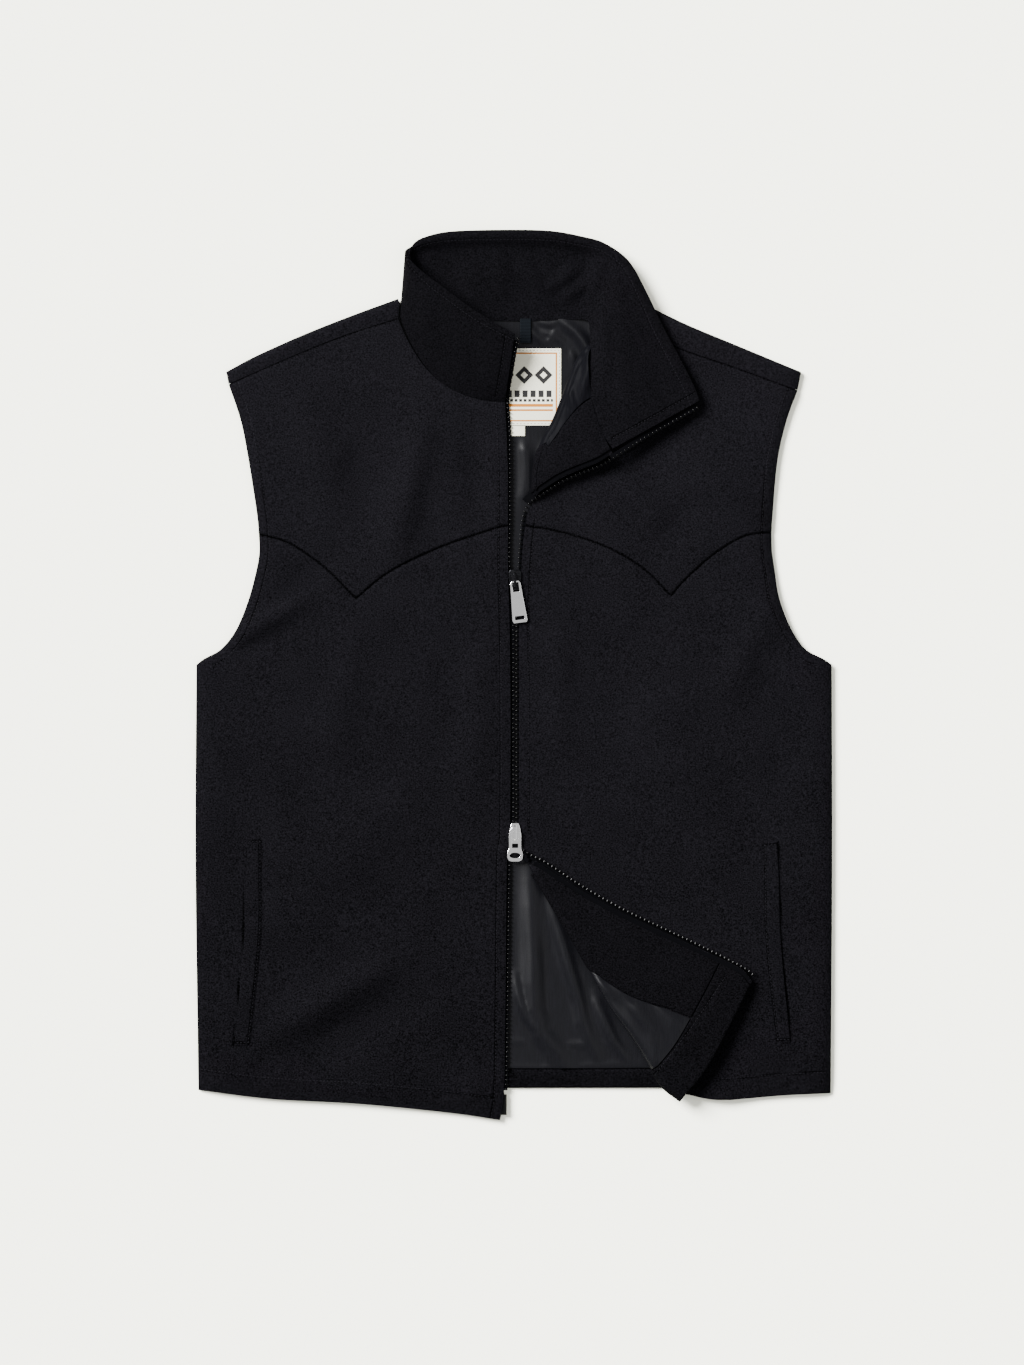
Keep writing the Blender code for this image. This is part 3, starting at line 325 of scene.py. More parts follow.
# How cloth dips into seams and at edges: depth and reach
SEAM_DIP = (1.0, 2.4)
EDGE_DIP = (0.6, 2.4)
YOKE_DIP = (0.6, 1.8)
FACING_DIP = (0.5, 2.2)
TAPE_DIP = (0.4, 1.8)
BAND_DIP = (0.3, 2.0)
BAND_LINE_DIP = (1.1, 2.4)
WELT_DIP = (0.7, 1.8)
WELT_END_DIP = (0.8, 2.0)
# The collar's rolled rim: place and half width in shares of its height, rise by station
RIM_ROLL = (0.955, 0.1)
RIM_RISE = ((0, 1.2), (6, 2.0), (8, 4.0), (10, 7.0), (13, 6.5), (15, 3.0), (20, 1.2))

# Zip: pitch of the teeth on one tape, their size and rounding, and steps of a chain's curve
TOOTH_PITCH = 4.1
TOOTH_SIZE = (2.7, 1.5, 2.2)
TOOTH_ROUND = 0.7
CHAIN_PARTS = 12
# Tape: thickness between the plies and where it shows, its lift between the plies, and its
# least height and its gap where it rests on a turned corner
TAPE_THICK = 0.5
TAPE_SHOWN_THICK = 0.35
TAPE_LIFT = -0.55
TAPE_LEAST_Z = 2.0
TAPE_GAP = 0.05
# Pieces of tape: name, box of the chain's places that it goes with (left, low, right, high),
# side, first edge, last edge and rows across, lift, and whether it rests on a turned corner
FAR = math.inf
TAPES_RIGHT = (
    ("zip_tape_right", (-FAR, -FAR, FAR, 246.0), -1, (-0.7, 8.5, 7), TAPE_LIFT, False),
    ("zip_tape_collar_right", (-FAR, 236.0, FAR, FAR), -1, (-0.9, 4.2, 6), 0.0, False),
)
TAPES_LEFT = (
    ("zip_tape_left", (-FAR, -150.0, 10.5, 145.0), 1, (0.0, 8.5, 7), TAPE_LIFT, False),
    ("zip_tape_flap", (6.0, -FAR, FAR, -151.0), -1, (0.0, 7.5, 10), 0.0, True),
    ("zip_tape_lapel", (-FAR, 149.0, 88.0, FAR), -1, (0.0, 7.5, 10), 0.0, True),
    ("zip_tape_collar_left", (86.0, -151.0, FAR, FAR), -1, (-0.7, 4.0, 6), 0.0, False),
)
# Steps of the tapes along the two paths
TAPE_STEP_RIGHT = 4.0
TAPE_STEP_LEFT = 2.5
# The pin's rib, and the rounding of the pin and of its rib
PIN_RIB = (-8.9, -386.0, -7.3, -369.0)
PIN_RIB_Z = (5.0, 6.9)
PIN_ROUND = 0.4
PIN_RIB_ROUND = 0.35
# Metal: rounding of its edges, and the angles in degrees of an edge and of a flat face
METAL_ROUND = 0.28
METAL_EDGE_ANGLE = 35
METAL_FLAT_ANGLE = 1
# Height from which things are dropped on the cloth below them
DROP_FROM = 60

# Label: its frame's distance from the edge and half width, the field inside the frame, rows
# of dashes as height, half height, pitch and length, bars, and a row of hollow diamonds
LABEL_FRAME_IN = 4.2
LABEL_FRAME_HALF = 0.65
LABEL_FIELD_IN = 3.0
LABEL_DASHES = ((-6.0, 3.0, 7.0, 4.6), (-11.8, 1.2, 4.0, 2.6))
LABEL_BARS = ((-16.2, 1.3), (-20.4, 0.8))
DIAMOND_PITCH = 17.0
DIAMOND_HALF = 8.0
DIAMOND_HOLLOW = 0.4
DIAMOND_Y = 10.5
# More repeats than fit beside the label's middle, and the dark of the ground's weave
LABEL_REPEATS = 20
LABEL_DARK = 0.86
# The label's and the loop's spacing of points, and their own small waves and arch
TRIM_STEP = 2.5
LABEL_LIFT = 0.25
LABEL_WAVE = (0.22, 11, 14)
LOOP_LIFT = 0.3
LOOP_ARCH = 1.6

# Metal pieces: name, node, body, finish
SLIDER_PARTS = (
    ("slider_upper", "slider_top", "cloth", "black_nickel_plate"),
    ("slider_lower", "slider_low", "cloth", "nickel_plate"),
    ("pull_upper", "pull_top", "pull_top", "nickel_plate"),
    ("pull_lower", "pull_low", "pull_low", "nickel_plate"),
)

# Stage: the floor's half width in metres and its height in millimetres, then the lights as
# name, direction, strength and angle in degrees
FLOOR_HALF = 3.0
FLOOR_Z = -0.4
LIGHTS = (
    ("Window light", (-0.9, 0.62, 1.0), 21.0, 30.0),
    ("Fill light", (0.7, -0.3, 1.0), 1.5, 60.0),
)
ROOM_LIGHT = 0.8
# The photograph's height in pixels, a pixel's size on the table, and the camera in metres
PHOTO_HEIGHT = 1365
PHOTO_PIXEL = 0.88
CAMERA_AT = (-0.00176, -0.00616)
CAMERA_HEIGHT = 3.0

# Spacing of the cloth's points: over a panel, up the collar, and beside the edges within a
# share of the length; then parts between a corner table's shares, and rows across a welt
CLOTH_STEP = 4.5
COLLAR_STEP = 3.0
EDGE_STEPS = (0.0, 0.7, 1.6, 3.0, 5.2, 8.4)
EDGE_SHARE = 0.4
CORNER_PARTS = 5
WELT_ROWS = 12
# Rounding of a cloth's edges in shares of its thickness, segments, and an edge's least angle
EDGE_ROUNDING = 0.42
EDGE_SEGMENTS = 2
EDGE_ANGLE = 50
# Lengths that set how many points the panels' stretches have
OUTER_WIDTH = 113
INNER_WIDTH = 157
SHOULDER_LENGTH = 167
BACK_NECK_POINTS = 40
BACK_SIDE_LENGTH = 372
BACK_HOLE_LENGTH = 300
FRONT_SIDE_LENGTH = 375
FRONT_HOLE_LENGTH = 150
YOKE_LENGTH = 130
LEFT_PLAIN_LENGTH = 275
NECK_START_LENGTH = 20
WELT_LENGTH = 183
# Shares at which the back lining has its points, closest where it shows: single shares, or
# the end of a span and its number of points
LINING_OUTER = (0.0, 0.084, 0.25, 0.42, 0.58, 0.72, 0.82, 0.89, 0.94, 0.97, 1.0)
LINING_MIDDLE = ((0.4, 7), (1.0, 66))
LINING_BOTTOM = (0.0, 0.043, 0.05)
LINING_SIDE = ((0.6, 100), (1.0, 10))
LINING_HOLE = ((0.46, 9), (1.0, 84))
# The lining lies still under the label and its tab, and is free at this distance from them
TAB_DROP = 9.0
LABEL_CALM = 12.0
# The lining's deepest trough alone and with its waves, and its small lift off the back
LINING_LEAST = (-0.2, -0.1)
LINING_LIFT = 0.1

# A fold is told in this many parts between these shares of a half wave, raised to a power
FOLD_PARTS = 9
FOLD_SPAN = (0.04, 0.96)
FOLD_POWER = 0.7

# Slow unevenness of the cloths: wave length, direction, height, phase, and how waves bend
SLOW_WAVES = ((97.0, 0.4, 0.30, 0.0), (61.0, 1.5, 0.22, 1.1), (143.0, 2.4, 0.35, 2.0))
WAVE_BEND = (0.9, 2.3)

# Wool lies even at the side seams and calmer beside the zip: place and reach of both, and
# the share of its relief that it keeps beside the zip
CALM_SIDE = (278, 26)
CALM_ZIP = (8, 24)
CALM_SHARE = 0.25

# Ripples beside sewing, and how their length drifts
PUCKER_LENGTH = 13.0
PUCKER_HEIGHT = 0.22
PUCKER_REACH = 11.0
PUCKER_DRIFT = (1.3, 31.0)

# Ripples of the back's hem band: height and two lengths
BAND_RIPPLE = (0.15, 9.0, 23.0)

# Sewing: distances from an edge, on the fronts, welts and label, and beside a pocket's mouth the
# line where shade is painted
STITCH_IN = 8.2
HEM_STITCH_UP = 18.5
WELT_STITCH_IN = 1.8
WELT_END_IN = 3.0
LABEL_STITCH_IN = 1.6
MOUTH_SEAM_OUT = 0.9
# Shares of the hems and of a welt's long side between which they are sewn
HEM_SEWN_RIGHT = (0.004, 0.975)
HEM_SEWN_LEFT = (0.03, 1.0)
WELT_SEWN = (0.01, 0.99)
# Points on the sewing lines, and on a hem that is searched for its height
FINE = 40
FINER = 50
WELT_POINTS = 60
HEM_POINTS_RIGHT = 120
HEM_POINTS_LEFT = 50
DROOP_POINTS = 60
# A stitch: its length, half sizes, how far it is sunk, and the steepest cloth that it lies on
STITCH_PITCH = 3.1
STITCH_HALF = (1.2, 0.24, 0.2)
STITCH_SUNK = 0.05
STITCH_LEAST_LEVEL = 0.2
# Distance kept for points of a piece that has no sewing
NO_SEWING = 99.0

# A facing on a turned corner ends at least at this place, and is at least this wide
FACING_LEAST_END = 1.25
FACING_LEAST_WIDTH = 0.05
# Folds of a turned corner fade towards its bend and its free edge at these rates
LIMB_FADE = (6, 8)
# The collar's relief fades towards its neck seam and its rim at these rates
COLLAR_FADE = (4, 5)
# A welt sits this much into the pocket, and arches by this much
WELT_SET = 0.45
WELT_ARCH = 0.5

# Soft folds of the wool fronts: half width, height, then its points
WOOL_FOLDS = (
    (10.6, 0.90, (-248, 31), (-188, 68)),
    (8.8, -0.90, (-222, 56), (-162, 102)),
    (7.0, -0.50, (-263, 7), (-222, 29)),
    (14.1, 0.80, (-78, 225), (-107, 102)),
    (12.3, -0.80, (-128, 216), (-146, 115)),
    (10.6, -0.50, (-37, 225), (-28, 102)),
    (15.8, 0.50, (-188, 242), (-162, 181)),
    (14.1, 1.00, (-228, -325), (-100, -250)),
    (11.4, -0.80, (-188, -340), (-65, -275)),
    (22.9, 0.50, (-188, -198), (-83, -92)),
    (15.8, -0.40, (-241, -74), (-232, -198)),
    (15.8, -0.40, (-52, 31), (-65, -74)),
    (17.6, 0.40, (-144, 31), (-162, -74)),
    (9.7, -0.60, (40, 150), (76, 93)),
    (11.4, 0.60, (76, 181), (136, 132)),
    (12.3, 0.50, (164, 181), (216, 137)),
    (13.2, -0.50, (124, 102), (164, 154)),
    (14.1, 0.60, (227, 66), (190, -13)),
    (24.6, 0.40, (111, -22), (181, -110)),
    (19.4, -0.40, (93, 31), (76, -74)),
    (15.8, -0.40, (252, -22), (234, -110)),
    (12.3, 0.35, (40, 49), (40, -74)),
    (10.6, -0.50, (199, 31), (252, -13)),
    (26.0, 0.35, (-26, 84), (-30, -128)),
)
# Short drag folds at the hem's sewing: half width, height, then its points
HEM_FOLDS = (
    (7.9, 0.60, (-39, -338), (-30, -374)),
    (7.0, -0.50, (-74, -340), (-69, -372)),
    (7.0, 0.50, (-105, -344), (-102, -367)),
    (7.0, -0.40, (-140, -344), (-143, -367)),
    (7.9, 0.50, (-180, -342), (-183, -363)),
    (7.9, -0.40, (-222, -338), (-225, -361)),
    (7.0, 0.40, (-257, -340), (-259, -359)),
    (7.0, 0.40, (199, -340), (202, -370)),
    (7.9, -0.40, (238, -338), (243, -367)),
)
# Satin folds that show in the neck: half width, height, then its points
NECK_SATIN_FOLDS = (
    (4.0, 1.8, (10, 310), (22, 296), (30, 292), (38, 306)),
    (3.4, 1.2, (21, 312), (32, 309), (42, 313)),
    (4.6, 2.8, (38, 314), (50, 306), (60, 296), (67, 280), (63, 258), (57, 238)),
    (3.6, 1.8, (70, 308), (75, 290), (75, 268), (68, 246)),
    (3.0, -0.7, (52, 298), (47, 284), (45, 268)),
    (3.4, 1.3, (46, 256), (51, 242), (57, 226)),
    (3.0, 1.3, (19, 303), (34, 299), (47, 288), (55, 272)),
    (2.6, -0.6, (45, 300), (56, 284), (60, 262)),
    (2.8, 1.2, (67, 262), (61, 244), (59, 226)),
    (5.0, 1.5, (6, 222), (10, 196), (11, 170), (8, 150)),
    (3.0, -0.5, (2, 210), (0, 184), (1, 158)),
    (5.2, 1.1, (30, 212), (26, 190), (22, 168)),
    (3.6, 0.9, (44, 222), (36, 208), (30, 196)),
)
# Satin folds that show in the lower opening: half width, height, then its points
HEM_SATIN_FOLDS = (
    (8.5, 2.0, (13, -158), (15, -200), (17, -250), (18, -290), (24, -314), (38, -330), (50, -352)),
    (3.6, 1.4, (1, -262), (5, -284), (13, -304), (27, -322), (34, -344)),
    (5.5, 1.9, (30, -196), (38, -220), (50, -262), (57, -286), (62, -310), (73, -334)),
    (4.6, 1.4, (70, -280), (78, -300), (88, -322), (100, -338)),
    (2.6, 0.25, (-6, -193), (16, -192), (44, -193)),
    (3.4, 0.45, (20, -322), (48, -325), (84, -324)),
    (2.6, 0.25, (-6, -321), (10, -322), (30, -320)),
    (3.4, 0.3, (-12, -345), (30, -346), (80, -343), (120, -341)),
    (5.0, -0.5, (26, -232), (30, -262), (31, -300)),
    (3.0, -0.5, (8, -298), (14, -318), (24, -342)),
)
# Satin folds on the turned hem corner: half width, height, then its points
FLAP_SATIN_FOLDS = (
    (3.2, 1.0, (62, -260), (78, -274), (98, -285), (118, -294)),
    (4.6, 1.2, (84, -268), (102, -288), (122, -314), (128, -330)),
    (3.6, 1.0, (103, -276), (116, -300), (128, -340)),
    (2.8, 0.8, (68, -246), (78, -256), (88, -266)),
    (2.8, 0.9, (124, -290), (136, -300), (148, -312)),
)
# Soft folds of the turned hem corner: half width, height, then its points
FLAP_FOLDS = (
    (7.9, 0.60, (76, -189), (111, -250)),
    (7.9, 0.50, (111, -224), (155, -242)),
    (6.2, -0.50, (45, -180), (76, -224)),
    (7.0, -0.50, (128, -250), (111, -277)),
    (5.3, 0.50, (164, -268), (137, -312)),
    (4.4, -0.50, (203, -272), (155, -338)),
)
# Creases of the collar: half width, height, then its points
COLLAR_FOLDS = (
    (5.3, 1.60, (5, 364), (27, 339)),
    (5.3, 1.60, (27, 339), (56, 359)),
    (4.4, 1.40, (40, 329), (69, 348)),
    (7.9, 0.90, (-12, 374), (-12, 330)),
    (5.3, -0.90, (16, 374), (23, 359)),
    (6.2, 1.20, (76, 364), (67, 330)),
    (7.9, 0.50, (-39, 366), (-35, 330)),
    (7.0, -0.60, (-65, 374), (-39, 339)),
    (6.2, -1.00, (54, 378), (69, 357)),
    (4.4, -0.90, (40, 364), (37, 344)),
    (6.2, 0.90, (76, 330), (81, 260)),
    (7.9, 0.50, (93, 304), (100, 225)),
    (7.9, -0.50, (120, 278), (136, 234)),
    (7.9, 0.50, (-83, 330), (-74, 286)),
    (7.9, -0.50, (-39, 304), (-30, 256)),
)
# Soft folds of the turned neck corner: half width, height, then its points
LAPEL_FOLDS = (
    (5.3, 0.60, (54, 216), (76, 194)),
    (4.4, 0.50, (40, 203), (58, 188)),
    (4.4, 0.60, (27, 181), (40, 194)),
    (5.3, -0.50, (76, 234), (86, 207)),
)


def smooth(points, steps=10):
    """Catmull-Rom curve through a table of points."""
    table = np.array(points, float)
    if len(table) < 3:
        return table
    ends = np.vstack([2 * table[0] - table[1], table, 2 * table[-1] - table[-2]])
    curve = []
    for a, b, c, d in zip(ends, ends[1:], ends[2:], ends[3:]):
        for t in np.linspace(0, 1, steps, endpoint=False):
            curve.append(b + 0.5 * t * (c - a + t * (2 * a - 5 * b + 4 * c - d
                                                     + t * (3 * (b - c) + d - a))))
    curve.append(table[-1])
    return np.array(curve)


def measured(curve):
    """Distances along a curve from its start to each of its points."""
    steps = np.linalg.norm(np.diff(curve, axis=0), axis=1)
    return np.concatenate([[0.0], np.cumsum(steps)])


def picked(curve, length, want):
    """Points of a curve at wanted distances, given those of its own points."""
    return np.stack([np.interp(want, length, column) for column in curve.T], axis=1)


def along(points, shares):
    """Points at the given shares of a smooth curve's length, measured in plan."""
    curve = smooth(points)
    length = measured(curve[:, :2])
    return picked(curve, length, np.asarray(shares) * length[-1])


def drawn(points, count, first=0.0, last=1.0):
    """A smooth curve through points, between two shares of its length."""
    return along(points, np.linspace(first, last, count))


def spaced(curve, step):
    """Points at even steps along a curve, the first half a step from its start."""
    length = measured(curve)
    return picked(curve, length, np.arange(step / 2, length[-1], step))


def unit(vectors):
    """Vectors of the same directions, each of length one."""
    return vectors / np.linalg.norm(vectors, axis=-1, keepdims=True)


def leftward(line):
    """Unit vectors in plan to the left of a line, seen along it."""
    way = unit(np.gradient(line[:, :2], axis=0))
    return np.stack([-way[:, 1], way[:, 0]], axis=1)


def segments(lines):
    """The segments of some lines, each as x, y, x, y."""
    return np.vstack([np.hstack([line[:-1], line[1:]]) for line in lines])


def joined(first, second, share):
    """Shares of a whole from those of its two stretches, which meet at a share of it."""
    return np.concatenate([share * first, share + (1 - share) * second[1:]])


def stretches(start, spans):
    """Shares in even steps over one span after another, each given by its end and points."""
    shares = list(start)
    for end, count in spans:
        shares.extend(np.linspace(shares[-1], end, count)[1:])
    return np.array(shares)


def chained(first, first_shares, second, second_shares):
    """Two curves sampled one after the other, meeting in a corner."""
    return np.vstack([along(first, first_shares), along(second, second_shares)[1:]])


def patch(bottom, top, start, end, us, vs):
    """Surface between four edges: bottom and top run along u, start and end along v."""
    u = np.asarray(us)[None, :, None]
    v = np.asarray(vs)[:, None, None]
    sides = (1 - v) * bottom[None] + v * top[None] + (1 - u) * start[:, None] + u * end[:, None]
    low = (1 - u) * bottom[0] + u * bottom[-1]
    high = (1 - u) * top[0] + u * top[-1]
    return sides - (1 - v) * low - v * high


def draw_in(grid, *sides):
    """Move edges of a grid towards their neighbouring rows or columns, for a seam's gap."""
    places = {
        "start": (np.s_[:, 0], np.s_[:, 1]), "end": (np.s_[:, -1], np.s_[:, -2]),
        "bottom": (np.s_[0], np.s_[1]), "top": (np.s_[-1], np.s_[-2]),
    }
    for side in sides:
        edge, inner = places[side]
        grid[edge] += unit(grid[inner] - grid[edge]) * (SEAM_GAP / 2)
    return grid


def raised(flat, height):
    """Give a plan grid its heights."""
    height = np.broadcast_to(np.asarray(height, float), flat.shape[:2])
    return np.concatenate([flat, height[..., None]], axis=2)


def laid(flat, inner_height):
    """A front panel on the back: low at its side edge, column 0, and level inside."""
    away = np.linalg.norm(flat - flat[:, :1], axis=2)
    height = inner_height - (inner_height - SIDE_EDGE_Z) * np.exp(-away / EDGE_ROLL)
    return raised(flat, height)


def normals(grid, up_at):
    """Unit normals of a grid, turned so that the one at up_at points up."""
    normal = unit(np.cross(np.gradient(grid, axis=1), np.gradient(grid, axis=0)))
    return normal * (1 if normal[up_at][2] > 0 else -1)


def graded(length, step, first=True, last=True):
    """Shares of a length in even steps, closer together at the ends that are sewn or rolled."""
    near = np.array([place for place in EDGE_STEPS if place < EDGE_SHARE * length]) / length
    low = near if first else np.zeros(1)
    high = 1 - near[::-1] if last else np.ones(1)
    count = max(2, round((high[0] - low[-1]) * length / step))
    return np.concatenate([low[:-1], np.linspace(low[-1], high[0], count + 1), high[1:]])


# Shares of a front's stretches on the two sides of its yoke's point
OUTER_COLUMNS = graded(OUTER_WIDTH, CLOTH_STEP, last=False)
INNER_COLUMNS = graded(INNER_WIDTH, CLOTH_STEP, first=False)


def refined(shares, parts):
    """A table's shares with more between them."""
    return np.interp(np.arange((len(shares) - 1) * parts + 1) / parts,
                     np.arange(len(shares)), shares)


def apart(points, table):
    """Distances of points from each segment of a table, shares along it, and its steps."""
    ends = np.asarray(table, float)
    start, step = ends[:, :2], ends[:, 2:4] - ends[:, :2]
    away = points[..., None, :] - start
    share = np.sum(away * step, axis=-1) / np.maximum(np.sum(step * step, axis=-1), TINY)
    share = np.clip(share, 0, 1)
    return np.linalg.norm(away - share[..., None] * step, axis=-1), share, step


def folds_at(points, folds):
    """Height of soft ridges and troughs at points in plan; those that meet don't add up."""
    rows = []
    for half_width, height, *spots in folds:
        line = drawn(spots, FOLD_PARTS + 1)
        rise = height * np.sin(math.pi * np.linspace(*FOLD_SPAN, FOLD_PARTS + 1)) ** FOLD_POWER
        width = np.full(FOLD_PARTS, half_width)
        rows.append(np.column_stack([line[:-1], line[1:], width, rise[:-1], rise[1:]]))
    table = np.vstack(rows)
    width, rise, next_rise = table[:, 4:].T
    far, share, _ = apart(points, table)
    heights = (rise + (next_rise - rise) * share) * np.exp(-(far / width) ** 2)
    return np.maximum(heights.max(axis=-1), 0) + np.minimum(heights.min(axis=-1), 0)


def waves_at(points, seed=0.0):
    """The slow unevenness of cloth that lies by itself."""
    x, y = points[..., 0], points[..., 1]
    total = np.zeros(x.shape)
    bend, closeness = WAVE_BEND
    for length, turn, height, phase in SLOW_WAVES:
        run = x * math.cos(turn) + y * math.sin(turn)
        across = y * math.cos(turn) - x * math.sin(turn)
        total += height * np.sin(2 * math.pi * run / length + phase + seed
                                 + bend * np.sin(across / length * closeness + seed))
    return total


def puckers_at(points, lines):
    """Small ripples that a line of sewing draws up on both its sides."""
    far, _, step = apart(points, segments(lines))
    nearest = np.argmin(far, axis=-1)
    near = np.take_along_axis(far, nearest[..., None], axis=-1)[..., 0]
    way = step / np.maximum(np.linalg.norm(step, axis=-1, keepdims=True), TINY)
    run = np.sum(points * way[nearest], axis=-1)
    drift, drift_length = PUCKER_DRIFT
    ripple = np.sin(run * 2 * math.pi / PUCKER_LENGTH + drift * np.sin(run / drift_length))
    return PUCKER_HEIGHT * ripple * np.exp(-(near / PUCKER_REACH) ** 2)


def sunk(grid, **dips):
    """Lower a grid towards its named edges, as into seams, each by a depth and a reach."""
    for side, (depth, reach) in dips.items():
        turned = {"start": grid, "end": grid[:, ::-1], "bottom": np.swapaxes(grid, 0, 1),
                  "top": np.swapaxes(grid[::-1], 0, 1)}[side]
        steps = np.linalg.norm(np.diff(turned[..., :2], axis=1), axis=2)
        away = np.concatenate([np.zeros((len(turned), 1)), np.cumsum(steps, axis=1)], axis=1)
        turned[..., 2] -= depth * np.exp(-(away / reach) ** 2)
    return grid


def link(name, mesh_data, material):
    """Turn a bmesh into a named object with one material."""
    mesh = bpy.data.meshes.new(name)
    mesh_data.to_mesh(mesh)
    mesh_data.free()
    thing = bpy.data.objects.new(name, mesh)
    mesh.materials.append(material)
    bpy.context.scene.collection.objects.link(thing)
    return thing


def lay(mesh_data, grid):
    """Lay a grid of points, in millimetres, into a bmesh."""
    rows, columns = grid.shape[0] - 1, grid.shape[1] - 1
    made = bmesh.ops.create_grid(mesh_data, x_segments=columns, y_segments=rows, size=1)
    for vertex in made["verts"]:
        i = round((vertex.co.x + 1) / 2 * columns)
        j = round((vertex.co.y + 1) / 2 * rows)
        vertex.co = Vector(grid[j, i]) * MM


def thicken(thing, thickness):
    """Give a surface its wall, with rounded edges."""
    wall = thing.modifiers.new("Thickness", "SOLIDIFY")
    wall.thickness = thickness * MM
    wall.offset = 0.0
    edge = thing.modifiers.new("Rounded edge", "BEVEL")
    edge.width = EDGE_ROUNDING * thickness * MM
    edge.segments = EDGE_SEGMENTS
    edge.limit_method = "ANGLE"
    edge.angle_limit = math.radians(EDGE_ANGLE)


def cloth(name, grids, thickness, material, node, lines=(), seams=()):
    """A wall of cloth about grids of points that meet, in place of a node of the frame."""
    mesh_data = bmesh.new()
    for grid in grids:
        lay(mesh_data, grid)
    bmesh.ops.remove_doubles(mesh_data, verts=mesh_data.verts, dist=MERGE * MM)
    bmesh.ops.dissolve_degenerate(mesh_data, edges=mesh_data.edges, dist=MERGE * MM / 4)
    bmesh.ops.recalc_face_normals(mesh_data, faces=mesh_data.faces)
    thing = link(name, mesh_data, material)
    thing.data.shade_smooth()
    mark(thing, "sewing_away", lines)
    mark(thing, "seam_away", seams)
    thicken(thing, thickness)
    settle(thing, node)


def settle(thing, node, body="cloth"):
    """Put a piece on its body, in place of a node."""
    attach(thing, body)
    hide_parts(node)


def mark(thing, name, lines):
    """Keep each point's distance in mm from the nearest of some lines, for the material."""
    kept = thing.data.attributes.new(name, "FLOAT", "POINT")
    count = len(thing.data.vertices)
    away = np.full(count, NO_SEWING)
    if len(lines):
        spots = np.empty(count * 3)
        thing.data.vertices.foreach_get("co", spots)
        points = spots.reshape(-1, 3)[:, :2] / MM
        away = apart(points, segments(lines))[0].min(axis=-1)
    kept.data.foreach_set("value", away)


def beside(points, distance, count=160):
    """A line at a distance to the left of a smooth line, seen along it, in plan."""
    line = drawn(points, count)[:, :2]
    return line + leftward(line) * distance


def panel_columns():
    """Column shares across a front, with one column at the yoke's point."""
    return joined(OUTER_COLUMNS, INNER_COLUMNS, POINT_SHARE)


